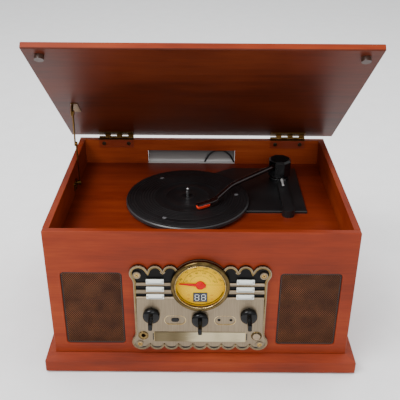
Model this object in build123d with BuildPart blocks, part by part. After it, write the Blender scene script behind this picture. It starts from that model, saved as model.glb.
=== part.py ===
from build123d import *
import os
from math import atan2, cos, degrees, hypot, radians, sin, sqrt

os.makedirs("parts", exist_ok=True)

# A wooden music centre with its lid open. The origin is on the table, under the middle of the
# outline. X runs to the right, Y to the back and Z up. Sizes are in millimetres.

# Cabinet
cabinet_width = 440.0
cabinet_depth = 332.0
panel_height = 213.4
board = 9.5
front_y = -152.3
foot_height = 3.0
foot_radius = 10.0
foot_chamfer = 0.6
foot_from_side = 8.0
foot_from_front = 8.0
foot_from_back = 16.0
plinth_height = 25.0
plinth_reach = 14.0
plinth_bevel_drop = 6.0
plinth_rail = 31.0
bottom_thickness = 6.0
deck_drop = 45.7
deck_thickness = 9.0
board_gap = 0.2
hole_room = 1.0

# Clearances
seat_gap = 0.2
slide_gap = 0.4
running_gap = 0.05
moving_gap = 0.3

# Lid and its hinges
lid_width = 471.6
lid_depth = 355.8
lid_thickness = 9.4
lid_open_angle = 40.5
hinge_from_back = 3.0
hinge_above_rim = 2.2
lid_above_hinge = 4.5
lid_behind_hinge = 2.8
lid_edge_round = 1.5
hinge_length = 62.0
hinge_offset = 154.3
knuckle_count = 6
knuckle_radius = 2.0
hinge_pin_radius = 1.0
leaf_thickness = 1.0
lower_leaf_drop = 15.0
upper_leaf_width = 16.0
leaf_screw_spacing = 44.3
leaf_screw_drop = 7.0
leaf_screw_head_radius = 3.5
leaf_screw_head_height = 1.6
leaf_screw_round = 0.9
bumper_radius = 6.6
bumper_inset = 21.0
bumper_height = 6.5

# Lid stay
stay_tab_gap = 2.5
stay_plate = 1.1
link_thickness = 1.5
link_width = 7.0
lower_link_width = 5.0
stay_pin_radius = 2.0
stay_head_radius = 3.8
stay_head_height = 0.9
lid_pivot_reach = 144.0
lid_pivot_drop = 10.6
wall_pivot_from_line = 214.0
wall_pivot_below_rim = 32.4
lower_link_length = 71.2
stay_slack = 0.2
stay_bracket_length = 36.0
stay_bracket_width = 11.0
stay_tab_length = 14.0
stay_tab_overhang = 4.5
wall_bracket_thickness = 1.5
wall_bracket_length = 24.0
wall_bracket_height = 15.0
wall_screw_radius = 3.0
wall_bracket_corner = 3.0
wall_screws_from_pivot = (15.0, 10.0)
wall_screw_off_centre = 3.4

# Speaker windows in the front panel
speaker_margin = 19.5
speaker_window_width = 87.6
speaker_window_height = 128.5
speaker_window_centre = 81.25
speaker_window_corner = 5.5
grille_recess = 2.0
grille_thickness = 4.0
grille_ledge = 4.0
driver_radius = 38.0
driver_flange_thickness = 2.0
driver_depth = 26.0
magnet_radius = 22.0
magnet_height = 12.0
driver_flange_margin = 4.0
cone_rim = 2.0
cone_throat = 6.0
dust_cap_radius = 8.0
dust_cap_height = 2.0

# Faceplate, in its own frame: across from its middle, and up from the top of the plinth
panel_x = -1.0
plate_thickness = 3.6
plate_rim_height = 5.0
plate_rim_width = 2.6
plate_side = 95.4
side_flare_radius = 16.0
lobe_pitch = 21.3
top_edge = 160.5
top_cusp = 150.0
bottom_edge = 10.5
bottom_cusp = 17.8
top_corner_radius = 13.2
bottom_corner_radius = 14.0
backing_thickness = 1.0
gap_floor = 2.0
plate_screw_seat = 2.0
plate_screw_head_height = 1.8
plate_screw_round = 0.6
backing_inset = 3.0
works_window_half_width = 87.0
works_window_bottom = 24.5
works_window_top = 149.0
louvre_outer = 92.5
louvre_inner = 30.0
louvre_lobe_margin = 3.6
upper_gap_bottom = 131.2
middle_gap_bottom = 118.9
middle_gap_top = 126.9
lower_gap_bottom = 106.8
lower_gap_top = 113.5
plate_screw_head_radius = 3.6
plate_screw_ring = 5.6
plate_screw_radius = 1.5
plate_screw_top_x = 90.0
plate_screw_top_z = 144.5
plate_screw_bottom_x = 89.3
plate_screw_bottom_z = 20.5

# Dial
dial_z = 127.5
bezel_radius = 42.5
bezel_lip_radius = 36.0
bezel_seat_radius = 37.5
bezel_front = 10.0
bezel_lip_drop = 0.8
bezel_crown_width = 4.0
bezel_crown_drop = 3.6
bezel_round_across = 1.6
bezel_round_drop = 1.0
lens_thickness = 1.1
lens_front = 8.7
dial_face_thickness = 1.2
needle_length = 30.5
needle_hub_radius = 6.6
needle_hub_height = 3.0
needle_hub_round = 1.2
needle_blade_width = 3.0
needle_blade_thickness = 1.0
needle_lift = 1.6
needle_rest_angle = 5.0
needle_shaft_radius = 1.5
dial_bush_radius = 4.0
dial_bush_length = 8.0
display_width = 20.3
display_height = 15.3
display_thickness = 1.3
display_drop = 21.3
infrared_width = 11.4
infrared_height = 6.5

# Push buttons
button_offset = 64.5
button_width = 25.6
button_height = 9.2
button_rows = (134.4, 121.3, 108.4)
button_front = 7.2
button_back = 2.8
button_travel = 1.5
button_round = 0.8
button_stem_width = 8.0
button_stem_height = 4.0
power_offset = 84.0
power_z = 36.5
power_radius = 6.0
power_front = 6.6
power_travel = 2.5
power_stem_radius = 2.5
power_stem_length = 10.0
power_round = 1.0
ring_radius = 7.6
ring_height = 0.8
jack_floor = 1.0
jack_hole_radius = 3.2
jack_body_radius = 6.0

# Knobs
knob_offset = 71.0
side_knob_z = 75.4
middle_knob_z = 68.4
knob_radius = 11.8
knob_skirt = 6.0
knob_dome = 9.0
knob_grip_width = 5.7
knob_grip_length = 17.0
knob_grip_tip = 10.0
knob_reach = 35.0
knob_nub_radius = 1.6
knob_shaft_radius = 3.0
knob_lift = 0.5
control_body_radius = 8.0
control_body_floor = 3.0
knob_taper = 50.0
circuit_board_depth = 13.0
circuit_board_thickness = 1.6
circuit_board_half_width = 84.0
circuit_board_bottom = 52.0
circuit_board_below_deck = 14.7
circuit_board_notch = 12.0

# Pill-shaped recesses
pill_offset = 36.6
pill_z = 65.0
pill_length = 31.0
pill_height = 16.0
pill_depth = 1.0
pill_hole_radius = 2.4
pill_hole_spacing = 17.6

# Disc drawer
drawer_front_width = 135.0
drawer_front_height = 17.4
drawer_z = 34.4
drawer_front_face = 4.4
drawer_front_thickness = 3.0
drawer_front_corner = 0.8
disc_recess_from_front = 3.0
tray_width = 126.0
tray_height = 9.0
tray_length = 129.0
disc_recess_radius = 60.5
disc_recess_depth = 4.0
mechanism_wall = 4.0
mechanism_length = 150.0
mechanism_leg = 10.0

# Slot in the back wall, and the lead in front of it
slot_left = -98.0
slot_right = 60.5
slot_height = 25.3
cover_thickness = 0.8
cover_margin = 8.0
lead_diameter = 3.0
lead_left_x = 5.5
lead_right_x = 59.0
lead_top_height = 23.0
lead_behind_wall = 4.5
lead_bend = 13.0
lead_shoulder_across = 0.72
lead_shoulder_height = 0.62
lead_crown_across = 0.30

# Rear sockets
socket_plate_width = 96.0
socket_plate_height = 34.0
socket_plate_thickness = 2.0
socket_plate_corner = 3.0
socket_plate_x = -120.0
socket_plate_z = 78.0
socket_radius = 5.5
socket_hole_radius = 1.7
socket_reach = 3.0
socket_depth = 8.0
socket_spacing = 20.0
inlet_width = 22.0
inlet_height = 14.0

# Turntable: heights from the deck's top face, places from a line this far ahead of the back wall
works_depth = 322.5
platter_x = -22.5
platter_from_line = 167.6
platter_radius = 98.9
chassis_thickness = 4.0
chassis_edge = 1.0
platter_lift = 5.0
platter_top = 11.0
platter_skin = 2.5
platter_wall = 5.0
platter_edge = 1.5
mat_top = 13.5
mat_radius = 97.4
mat_recess_radius = 51.0
mat_recess_depth = 0.8
spindle_radius = 3.55
spindle_round = 2.5
spindle_above_mat = 15.5
hub_radius = 10.0
drum_radius = 55.0
drum_wall = 4.0
bearing_boss_radius = 7.0
bearing_boss_depth = 14.0
bearing_floor = 2.0
chassis_left = -70.0
chassis_right = 167.0
chassis_front = 136.0
chassis_back = 295.5
chassis_chamfer_x = 54.5
chassis_left_back = 213.0
motor_x = 35.0
motor_from_line = 215.0
motor_radius = 18.0
motor_length = 26.0
motor_round = 2.0
motor_shaft_radius = 1.0
pulley_radius = 6.0
pulley_height = 2.8
pulley_lift = 0.4
belt_thickness = 1.0
belt_height = 2.0

# Tonearm
arm_pivot_x = 134.0
arm_pivot_from_line = 255.0
arm_base_radius = 17.0
arm_base_height = 5.0
arm_base_round = 1.2
arm_neck_radius = 12.0
arm_post_radius = 4.0
arm_post_below_tube = 5.0
housing_bottom = 13.0
housing_top = 41.0
housing_width = 37.0
housing_corner = 11.0
housing_edge = 3.0
housing_slot_width = 14.0
arm_axis_height = 31.0
arm_slot_below = 1.0
arm_slot_above = 3.4
arm_tube_radius = 4.4
arm_elbow_x = 48.0
arm_elbow_from_line = 181.0
arm_elbow_height = 26.5
arm_neck_x = 21.0
arm_neck_from_line = 137.0
arm_neck_height = 23.0
arm_tip_x = -7.0
arm_tip_from_line = 121.0
arm_tip_height = 22.0
shell_width = 15.0
shell_height = 6.0
shell_corner = 4.0
shell_behind_neck = 8.0
shell_past_tip = 4.0
cartridge_length = 24.0
cartridge_width = 8.0
cartridge_height = 4.6
cartridge_corner = 2.0
cartridge_from_tip = 1.0
arm_trunnion_radius = 2.5
arm_trunnion_length = 3.5
arm_elbow_bend = 28.0
rest_ridge_width = 16.0
rest_ridge_height = 6.0
rest_ridge_front = 138.0
rest_ridge_back = 234.0
rest_boss_x = 136.5
rest_boss_from_line = 131.0
rest_boss_radius = 10.0
rest_boss_above_ridge = 2.0
cue_lever_x = 136.0
cue_lever_from_line = 226.0
cue_lever_height = 14.0
cue_lever_length = 20.0
cue_lever_width = 5.0
cue_post_width = 3.0
cue_pin_radius = 1.2

# Transformer
transformer_x = -140.0
transformer_y = 60.0
transformer_width = 50.0
transformer_depth = 34.0
transformer_height = 42.0
winding_inset = 8.0
winding_overhang = 10.0
winding_margin = 9.0
winding_corner = 4.0

# Places worked out from the sizes above
half_width = cabinet_width / 2
inner_x = half_width - board
speaker_offset = half_width - speaker_margin - speaker_window_width / 2
stay_tab_x = stay_tab_gap - inner_x
plinth_top = foot_height + plinth_height
rim_z = plinth_top + panel_height
deck_z = rim_z - deck_drop
back_y = front_y + cabinet_depth
inner_front = front_y + board
inner_back = back_y - board
hinge_y = back_y - hinge_from_back
hinge_z = rim_z + hinge_above_rim
works_line = inner_back - works_depth
circuit_board_top = deck_z - deck_thickness - circuit_board_below_deck - plinth_top
platter_y = works_line + platter_from_line

face = Plane(origin=(panel_x, front_y, plinth_top), x_dir=(1, 0, 0), z_dir=(0, -1, 0))
lid_plane = Plane(
    origin=(0, hinge_y, hinge_z),
    x_dir=(1, 0, 0),
    z_dir=(0, sin(radians(lid_open_angle)), cos(radians(lid_open_angle))),
)


def save(piece, name):
    piece.part.label = name
    export_step(piece.part, f"parts/{name}.step")


def deck_plane(height):
    """A level plane this far above the deck's top face."""
    return Plane.XY.offset(deck_z + height)


def side_plane(x):
    """A plane that looks along X: its first axis is Y and its second is Z."""
    return Plane(origin=(x, 0, 0), x_dir=(0, 1, 0), z_dir=(1, 0, 0))


# Plinth frame: its top slopes out from the cabinet at the front and sides
plinth_centre_y = (front_y - plinth_reach + back_y) / 2
cabinet_centre_y = (front_y + back_y) / 2
plinth_shoulder = plinth_top - plinth_bevel_drop
with BuildPart() as plinth:
    with BuildSketch(Plane.XY.offset(foot_height)):
        with Locations((0, plinth_centre_y)):
            Rectangle(cabinet_width + 2 * plinth_reach, cabinet_depth + plinth_reach)
    extrude(amount=plinth_height - plinth_bevel_drop)
    with BuildSketch(Plane.XY.offset(plinth_shoulder)):
        with Locations((0, plinth_centre_y)):
            Rectangle(cabinet_width + 2 * plinth_reach, cabinet_depth + plinth_reach)
    with BuildSketch(Plane.XY.offset(plinth_top)):
        with Locations((0, cabinet_centre_y)):
            Rectangle(cabinet_width, cabinet_depth)
    loft()
    with BuildSketch(Plane.XY.offset(foot_height)):
        with Locations((0, cabinet_centre_y)):
            Rectangle(cabinet_width - 2 * plinth_rail, cabinet_depth - 2 * plinth_rail)
    extrude(amount=plinth_height, mode=Mode.SUBTRACT)
save(plinth, "plinth")

foot_x = half_width - foot_from_side
foot_front_y = front_y + foot_from_front
foot_back_y = back_y - foot_from_back
with BuildPart() as rubber_feet:
    with BuildSketch(Plane.XY):
        with Locations(
            (-foot_x, foot_front_y), (foot_x, foot_front_y),
            (-foot_x, foot_back_y), (foot_x, foot_back_y),
        ):
            Circle(foot_radius)
    extrude(amount=foot_height)
    chamfer(rubber_feet.faces().sort_by(Axis.Z)[:4].edges(), foot_chamfer)
save(rubber_feet, "rubber_feet")

with BuildPart() as bottom_panel:
    with BuildSketch(Plane.XY.offset(plinth_top)):
        with Locations((0, cabinet_centre_y)):
            Rectangle(
                2 * (inner_x - board_gap),
                cabinet_depth - 2 * (board + board_gap),
            )
    extrude(amount=bottom_thickness)
save(bottom_panel, "bottom_panel")

# Casework boards
with BuildPart() as front_panel:
    with BuildSketch(Plane(origin=(0, front_y, plinth_top), x_dir=(1, 0, 0), z_dir=(0, -1, 0))):
        with Locations((0, panel_height / 2)):
            Rectangle(cabinet_width, panel_height)
        with Locations(
            (-speaker_offset, speaker_window_centre), (speaker_offset, speaker_window_centre)
        ):
            RectangleRounded(
                speaker_window_width - 2 * grille_ledge,
                speaker_window_height - 2 * grille_ledge,
                speaker_window_corner,
                mode=Mode.SUBTRACT,
            )
        with Locations((panel_x, (works_window_bottom + works_window_top) / 2)):
            Rectangle(
                2 * works_window_half_width,
                works_window_top - works_window_bottom,
                mode=Mode.SUBTRACT,
            )
        with Locations((panel_x - power_offset, power_z)):
            Circle(jack_body_radius + slide_gap, mode=Mode.SUBTRACT)
    extrude(amount=-board)
    with BuildSketch(Plane(origin=(0, front_y, plinth_top), x_dir=(1, 0, 0), z_dir=(0, -1, 0))):
        with Locations(
            (-speaker_offset, speaker_window_centre), (speaker_offset, speaker_window_centre)
        ):
            RectangleRounded(speaker_window_width, speaker_window_height, speaker_window_corner)
    extrude(amount=-(grille_recess + grille_thickness), mode=Mode.SUBTRACT)
save(front_panel, "front_panel")

for side, name in ((-1, "left_side"), (1, "right_side")):
    with BuildPart() as side_board:
        with BuildSketch(Plane.XY.offset(plinth_top)):
            with Locations((side * (half_width - board / 2), cabinet_centre_y)):
                Rectangle(board, cabinet_depth - 2 * board)
        extrude(amount=panel_height)
    save(side_board, name)

slot_centre_x = (slot_left + slot_right) / 2
slot_width = slot_right - slot_left
deck_above_plinth = deck_z - plinth_top
back_plane = Plane(origin=(0, inner_back, plinth_top), x_dir=(1, 0, 0), z_dir=(0, -1, 0))
with BuildPart() as back_panel:
    with BuildSketch(back_plane):
        with Locations((0, panel_height / 2)):
            Rectangle(cabinet_width, panel_height)
        with Locations((slot_centre_x, deck_above_plinth + slot_height / 2)):
            Rectangle(slot_width, slot_height, mode=Mode.SUBTRACT)
        with Locations((socket_plate_x, socket_plate_z)):
            Rectangle(
                socket_plate_width - 2 * cover_margin,
                socket_plate_height - cover_margin,
                mode=Mode.SUBTRACT,
            )
    extrude(amount=-board)
save(back_panel, "back_panel")

motor_y = works_line + motor_from_line
arm_pivot_y = works_line + arm_pivot_from_line
with BuildPart() as deck_board:
    with BuildSketch(deck_plane(-deck_thickness)):
        with Locations((0, cabinet_centre_y)):
            Rectangle(
                2 * (inner_x - board_gap),
                cabinet_depth - 2 * (board + board_gap),
            )
        with Locations((motor_x, motor_y)):
            Circle(motor_radius + 2 * hole_room, mode=Mode.SUBTRACT)
        with Locations((platter_x, platter_y)):
            Circle(bearing_boss_radius + hole_room, mode=Mode.SUBTRACT)
        with Locations((arm_pivot_x, arm_pivot_y)):
            Circle(arm_neck_radius + hole_room, mode=Mode.SUBTRACT)
    extrude(amount=deck_thickness)
save(deck_board, "deck_board")

# Grey sheet that closes the slot from behind, with its foot folded forward into the slot
with BuildPart() as slot_cover:
    with BuildSketch(side_plane(slot_left + seat_gap)):
        with BuildLine():
            Polyline(
                (inner_back, deck_z),
                (back_y + cover_thickness, deck_z),
                (back_y + cover_thickness, deck_z + slot_height + cover_margin),
                (back_y, deck_z + slot_height + cover_margin),
                (back_y, deck_z + cover_thickness),
                (inner_back, deck_z + cover_thickness),
                close=True,
            )
        make_face()
    extrude(amount=slot_width - 2 * seat_gap)
save(slot_cover, "slot_cover")

# Lead that comes up through the sheet's foot, bows over and goes back down
lead_y = inner_back + lead_behind_wall
lead_base = deck_z + cover_thickness
lead_half = (lead_right_x - lead_left_x) / 2
lead_middle = (lead_right_x + lead_left_x) / 2
lead_plane = Plane(origin=(lead_middle, lead_y, lead_base), x_dir=(1, 0, 0), z_dir=(0, -1, 0))
with BuildPart() as pickup_lead:
    with BuildLine(lead_plane) as lead_path:
        FilletPolyline(
            (-lead_half, 0),
            (-lead_half * lead_shoulder_across, lead_top_height * lead_shoulder_height),
            (-lead_half * lead_crown_across, lead_top_height),
            (lead_half * lead_crown_across, lead_top_height),
            (lead_half * lead_shoulder_across, lead_top_height * lead_shoulder_height),
            (lead_half, 0),
            radius=lead_bend,
        )
    with BuildSketch(Plane(origin=lead_path.line @ 0, z_dir=lead_path.line % 0)):
        Circle(lead_diameter / 2)
    sweep()
    with BuildSketch(Plane.XY.offset(lead_base)):
        with Locations((lead_middle, lead_y)):
            Rectangle(4 * lead_half, 4 * lead_diameter)
    extrude(amount=-lead_top_height, mode=Mode.SUBTRACT)
save(pickup_lead, "pickup_lead")

socket_plane = Plane(
    origin=(socket_plate_x, back_y, plinth_top + socket_plate_z), x_dir=(-1, 0, 0), z_dir=(0, 1, 0)
)
with BuildPart() as rear_sockets:
    with BuildSketch(socket_plane):
        RectangleRounded(socket_plate_width, socket_plate_height, socket_plate_corner)
    extrude(amount=socket_plate_thickness)
    with BuildSketch(socket_plane):
        Rectangle(
            socket_plate_width - 2 * (cover_margin + board_gap),
            socket_plate_height - cover_margin - 2 * board_gap,
        )
    extrude(amount=-board)
    with BuildSketch(socket_plane.offset(socket_plate_thickness)):
        with Locations((-socket_spacing / 2, 0), (-socket_spacing * 1.5, 0)):
            Circle(socket_radius)
    extrude(amount=socket_reach)
    with BuildSketch(socket_plane.offset(socket_plate_thickness + socket_reach)):
        with Locations((-socket_spacing / 2, 0), (-socket_spacing * 1.5, 0)):
            Circle(socket_hole_radius)
    extrude(amount=-socket_depth, mode=Mode.SUBTRACT)
    with BuildSketch(socket_plane.offset(socket_plate_thickness)):
        with Locations((socket_spacing, 0)):
            RectangleRounded(inlet_width, inlet_height, inlet_height / 4)
    extrude(amount=-socket_depth, mode=Mode.SUBTRACT)
save(rear_sockets, "rear_sockets")

# Lid, drawn in its own plane: the origin is the hinge axis, Y runs back and Z is the board's normal
lid_front_edge = lid_behind_hinge - lid_depth
with BuildPart() as lid_board:
    with BuildSketch(lid_plane.offset(lid_above_hinge)):
        with Locations((0, lid_behind_hinge - lid_depth / 2)):
            Rectangle(lid_width, lid_depth)
    extrude(amount=lid_thickness)
    fillet(lid_board.edges(), lid_edge_round)
save(lid_board, "lid_board")

bumper_x = lid_width / 2 - bumper_inset
with BuildPart() as lid_bumpers:
    with BuildSketch(lid_plane.offset(lid_above_hinge)):
        with Locations(
            (-bumper_x, lid_front_edge + bumper_inset), (bumper_x, lid_front_edge + bumper_inset)
        ):
            Circle(bumper_radius)
    extrude(amount=-bumper_height)
save(lid_bumpers, "lid_bumpers")

# Butt hinges: the lower leaf folds over the rim and down the inner face of the back panel
knuckle_length = hinge_length / knuckle_count
hinge_centres = (-hinge_offset, hinge_offset)
with BuildPart() as hinge_lower_leaves:
    for centre in hinge_centres:
        with BuildSketch(side_plane(centre - hinge_length / 2)):
            with BuildLine():
                Polyline(
                    (hinge_y, rim_z),
                    (hinge_y, rim_z + leaf_thickness),
                    (inner_back - leaf_thickness, rim_z + leaf_thickness),
                    (inner_back - leaf_thickness, rim_z - lower_leaf_drop),
                    (inner_back, rim_z - lower_leaf_drop),
                    (inner_back, rim_z),
                    close=True,
                )
            make_face()
            with Locations((hinge_y, hinge_z)):
                Circle(knuckle_radius)
        extrude(amount=hinge_length)
        for knuckle in range(1, knuckle_count, 2):
            with BuildSketch(
                side_plane(centre - hinge_length / 2 + knuckle * knuckle_length - moving_gap / 2)
            ):
                with Locations((hinge_y, hinge_z)):
                    Circle(knuckle_radius + 4 * moving_gap)
            extrude(amount=knuckle_length + moving_gap, mode=Mode.SUBTRACT)
        with BuildSketch(side_plane(centre - hinge_length / 2)):
            with Locations((hinge_y, hinge_z)):
                Circle(hinge_pin_radius + running_gap)
        extrude(amount=hinge_length, mode=Mode.SUBTRACT)
save(hinge_lower_leaves, "hinge_lower_leaves")

with BuildPart() as hinge_pins:
    for centre in hinge_centres:
        with BuildSketch(side_plane(centre - hinge_length / 2)):
            with Locations((hinge_y, hinge_z)):
                Circle(hinge_pin_radius)
        extrude(amount=hinge_length)
save(hinge_pins, "hinge_pins")

with BuildPart() as hinge_screws:
    with BuildSketch(Plane(origin=(0, inner_back - leaf_thickness, rim_z - leaf_screw_drop),
                           x_dir=(1, 0, 0), z_dir=(0, -1, 0))):
        for centre in hinge_centres:
            with Locations(
                (centre - leaf_screw_spacing / 2, 0), (centre + leaf_screw_spacing / 2, 0)
            ):
                Circle(leaf_screw_head_radius)
    extrude(amount=leaf_screw_head_height)
    fillet(hinge_screws.faces().filter_by(Axis.Y).sort_by(Axis.Y)[:4].edges(), leaf_screw_round)
save(hinge_screws, "hinge_screws")


def lid_side_plane(x):
    """A plane that looks along X in the lid's own frame: its first axis runs back along the lid."""
    return Plane(
        origin=(x, hinge_y, hinge_z), x_dir=lid_plane.y_dir, z_dir=(1, 0, 0)
    )


with BuildPart() as hinge_upper_leaves:
    for centre in hinge_centres:
        with BuildSketch(lid_side_plane(centre - hinge_length / 2)):
            with Locations((-upper_leaf_width / 2, lid_above_hinge - leaf_thickness / 2)):
                Rectangle(upper_leaf_width, leaf_thickness)
        extrude(amount=hinge_length)
        for knuckle in range(1, knuckle_count, 2):
            start = centre - hinge_length / 2 + knuckle * knuckle_length + moving_gap / 2
            with BuildSketch(lid_side_plane(start)):
                Circle(knuckle_radius)
                with Locations((-leaf_thickness / 2, lid_above_hinge / 2)):
                    Rectangle(leaf_thickness, lid_above_hinge)
                Circle(hinge_pin_radius + running_gap, mode=Mode.SUBTRACT)
            extrude(amount=knuckle_length - moving_gap)
save(hinge_upper_leaves, "hinge_upper_leaves")

# Lid stay: two links that open out in line and fold forward at the knee when the lid closes.
# Everything is worked out in the plane of the stay, across from Y and up along Z.
open_cos = cos(radians(lid_open_angle))
open_sin = sin(radians(lid_open_angle))
lid_pivot_v = -lid_pivot_reach
lid_pivot_w = lid_above_hinge - lid_pivot_drop
lid_pivot_y = hinge_y + lid_pivot_v * open_cos + lid_pivot_w * open_sin
lid_pivot_z = hinge_z - lid_pivot_v * open_sin + lid_pivot_w * open_cos
wall_pivot_y = works_line + wall_pivot_from_line
wall_pivot_z = rim_z - wall_pivot_below_rim
stay_span = hypot(lid_pivot_y - wall_pivot_y, lid_pivot_z - wall_pivot_z)
upper_link_length = stay_span + stay_slack - lower_link_length
stay_lean = atan2(lid_pivot_z - wall_pivot_z, lid_pivot_y - wall_pivot_y)
knee_along = (lower_link_length**2 - upper_link_length**2 + stay_span**2) / (2 * stay_span)
knee_off = sqrt(lower_link_length**2 - knee_along**2)
knee_y = wall_pivot_y + knee_along * cos(stay_lean) - knee_off * sin(stay_lean)
knee_z = wall_pivot_z + knee_along * sin(stay_lean) + knee_off * cos(stay_lean)

upper_link_x = stay_tab_x + stay_plate + moving_gap
lower_link_x = upper_link_x + link_thickness + moving_gap
lower_link_face = lower_link_x + link_thickness


def link_outline(start_y, start_z, end_y, end_z, width):
    """A straight link with round ends, in the current sketch."""
    middle = ((start_y + end_y) / 2, (start_z + end_z) / 2)
    lean = degrees(atan2(end_z - start_z, end_y - start_y))
    with Locations(Location(middle + (0,), (0, 0, lean))):
        SlotCenterToCenter(hypot(end_y - start_y, end_z - start_z), width)


with BuildPart() as stay_upper_link:
    with BuildSketch(side_plane(upper_link_x)):
        link_outline(lid_pivot_y, lid_pivot_z, knee_y, knee_z, link_width)
        with Locations((lid_pivot_y, lid_pivot_z)):
            Circle(stay_pin_radius + running_gap, mode=Mode.SUBTRACT)
    extrude(amount=link_thickness)
save(stay_upper_link, "stay_upper_link")

with BuildPart() as stay_lower_link:
    with BuildSketch(side_plane(lower_link_x)):
        link_outline(wall_pivot_y, wall_pivot_z, knee_y, knee_z, lower_link_width)
        with Locations((wall_pivot_y, wall_pivot_z), (knee_y, knee_z)):
            Circle(stay_head_radius)
        with Locations((wall_pivot_y, wall_pivot_z)):
            Circle(stay_pin_radius + running_gap, mode=Mode.SUBTRACT)
    extrude(amount=link_thickness)
    with BuildSketch(side_plane(lower_link_face)):
        with Locations((knee_y, knee_z)):
            Circle(stay_head_radius - moving_gap)
    extrude(amount=stay_head_height)
save(stay_lower_link, "stay_lower_link")

# Bracket under the lid: a plate on the board and a tab that carries the upper link's pin
with BuildPart() as stay_lid_bracket:
    with BuildSketch(lid_plane.offset(lid_above_hinge)):
        with Locations((stay_tab_x + stay_bracket_width / 2, lid_pivot_v + stay_tab_overhang)):
            Rectangle(stay_bracket_width, stay_bracket_length)
    extrude(amount=-stay_plate)
    with BuildSketch(lid_side_plane(stay_tab_x)):
        with Locations((lid_pivot_v, (lid_above_hinge + lid_pivot_w) / 2)):
            Rectangle(stay_tab_length, lid_pivot_drop)
        with Locations((lid_pivot_v, lid_pivot_w)):
            Circle(stay_tab_length / 2)
    extrude(amount=stay_plate)
    with BuildSketch(lid_side_plane(stay_tab_x + stay_plate)):
        with Locations((lid_pivot_v, lid_pivot_w)):
            Circle(stay_pin_radius)
    extrude(amount=link_thickness + 2 * moving_gap)
    with BuildSketch(lid_side_plane(upper_link_x + link_thickness + moving_gap)):
        with Locations((lid_pivot_v, lid_pivot_w)):
            Circle(stay_head_radius)
    extrude(amount=stay_head_height)
save(stay_lid_bracket, "stay_lid_bracket")

# Bracket on the left wall: a plate, a stand-off boss and the lower link's pin
wall_plate_centre_y = wall_pivot_y - wall_bracket_length / 2 + stay_head_radius
with BuildPart() as stay_wall_bracket:
    with BuildSketch(side_plane(-inner_x)):
        with Locations((wall_plate_centre_y, wall_pivot_z)):
            RectangleRounded(wall_bracket_length, wall_bracket_height, wall_bracket_corner)
    extrude(amount=wall_bracket_thickness)
    with BuildSketch(side_plane(-inner_x)):
        with Locations((wall_pivot_y, wall_pivot_z)):
            Circle(stay_head_radius)
    extrude(amount=lower_link_x - moving_gap + inner_x)
    with BuildSketch(side_plane(lower_link_x - moving_gap)):
        with Locations((wall_pivot_y, wall_pivot_z)):
            Circle(stay_pin_radius)
    extrude(amount=link_thickness + 2 * moving_gap)
    with BuildSketch(side_plane(lower_link_face + moving_gap)):
        with Locations((wall_pivot_y, wall_pivot_z)):
            Circle(stay_head_radius)
    extrude(amount=stay_head_height)
    with BuildSketch(side_plane(-inner_x + wall_bracket_thickness)):
        with Locations(
            (wall_pivot_y - wall_screws_from_pivot[0], wall_pivot_z + wall_screw_off_centre),
            (wall_pivot_y - wall_screws_from_pivot[1], wall_pivot_z - wall_screw_off_centre),
        ):
            Circle(wall_screw_radius)
    extrude(amount=stay_head_height)
save(stay_wall_bracket, "stay_wall_bracket")

# Turntable chassis, platter and drive
chassis_front_y = works_line + chassis_front
chassis_back_y = works_line + chassis_back
cue_y = works_line + cue_lever_from_line
cue_post_x = cue_lever_x + cue_lever_width / 2 + moving_gap
with BuildPart() as chassis_plate:
    with BuildSketch(deck_plane(0)):
        with BuildLine():
            Polyline(
                (chassis_left, chassis_front_y),
                (chassis_right, chassis_front_y),
                (chassis_right, chassis_back_y),
                (chassis_chamfer_x, chassis_back_y),
                (chassis_left, works_line + chassis_left_back),
                close=True,
            )
        make_face()
    extrude(amount=chassis_thickness)
    chamfer(chassis_plate.faces().sort_by(Axis.Z)[-1].edges(), chassis_edge)
    with BuildSketch(deck_plane(0)):
        with Locations((platter_x, platter_y)):
            Circle(bearing_boss_radius)
    extrude(amount=-bearing_boss_depth)
    with BuildSketch(deck_plane(chassis_thickness)):
        with Locations((rest_boss_x, works_line + (rest_ridge_front + rest_ridge_back) / 2)):
            Rectangle(rest_ridge_width, rest_ridge_back - rest_ridge_front)
    extrude(amount=rest_ridge_height)
    with BuildSketch(deck_plane(0)):
        with Locations((rest_boss_x, works_line + rest_boss_from_line)):
            Circle(rest_boss_radius)
    extrude(amount=chassis_thickness + rest_ridge_height + rest_boss_above_ridge)
    with BuildSketch(deck_plane(chassis_thickness)):
        with Locations((platter_x, platter_y)):
            Circle(spindle_radius)
        with Locations((motor_x, motor_y)):
            Circle(motor_shaft_radius + 2 * hole_room)
        with Locations((arm_pivot_x, arm_pivot_y)):
            Circle(arm_post_radius + seat_gap)
    extrude(amount=-(bearing_boss_depth + chassis_thickness - bearing_floor), mode=Mode.SUBTRACT)
    # Post and pin that carry the cue lever
    with BuildSketch(side_plane(cue_post_x)):
        with Locations((cue_y, deck_z + (chassis_thickness + cue_lever_height) / 2)):
            Rectangle(cue_lever_width, cue_lever_height - chassis_thickness)
        with Locations((cue_y, deck_z + cue_lever_height)):
            Circle(cue_lever_width / 2)
    extrude(amount=cue_post_width)
    with BuildSketch(side_plane(cue_post_x)):
        with Locations((cue_y, deck_z + cue_lever_height)):
            Circle(cue_pin_radius)
    extrude(amount=-(cue_lever_width + moving_gap))
save(chassis_plate, "chassis_plate")

with BuildPart() as spindle:
    with BuildSketch(deck_plane(bearing_floor - bearing_boss_depth)):
        with Locations((platter_x, platter_y)):
            Circle(spindle_radius)
    extrude(amount=bearing_boss_depth - bearing_floor + mat_top + spindle_above_mat)
    fillet(spindle.edges().sort_by(Axis.Z)[-1], spindle_round)
save(spindle, "spindle")

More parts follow.
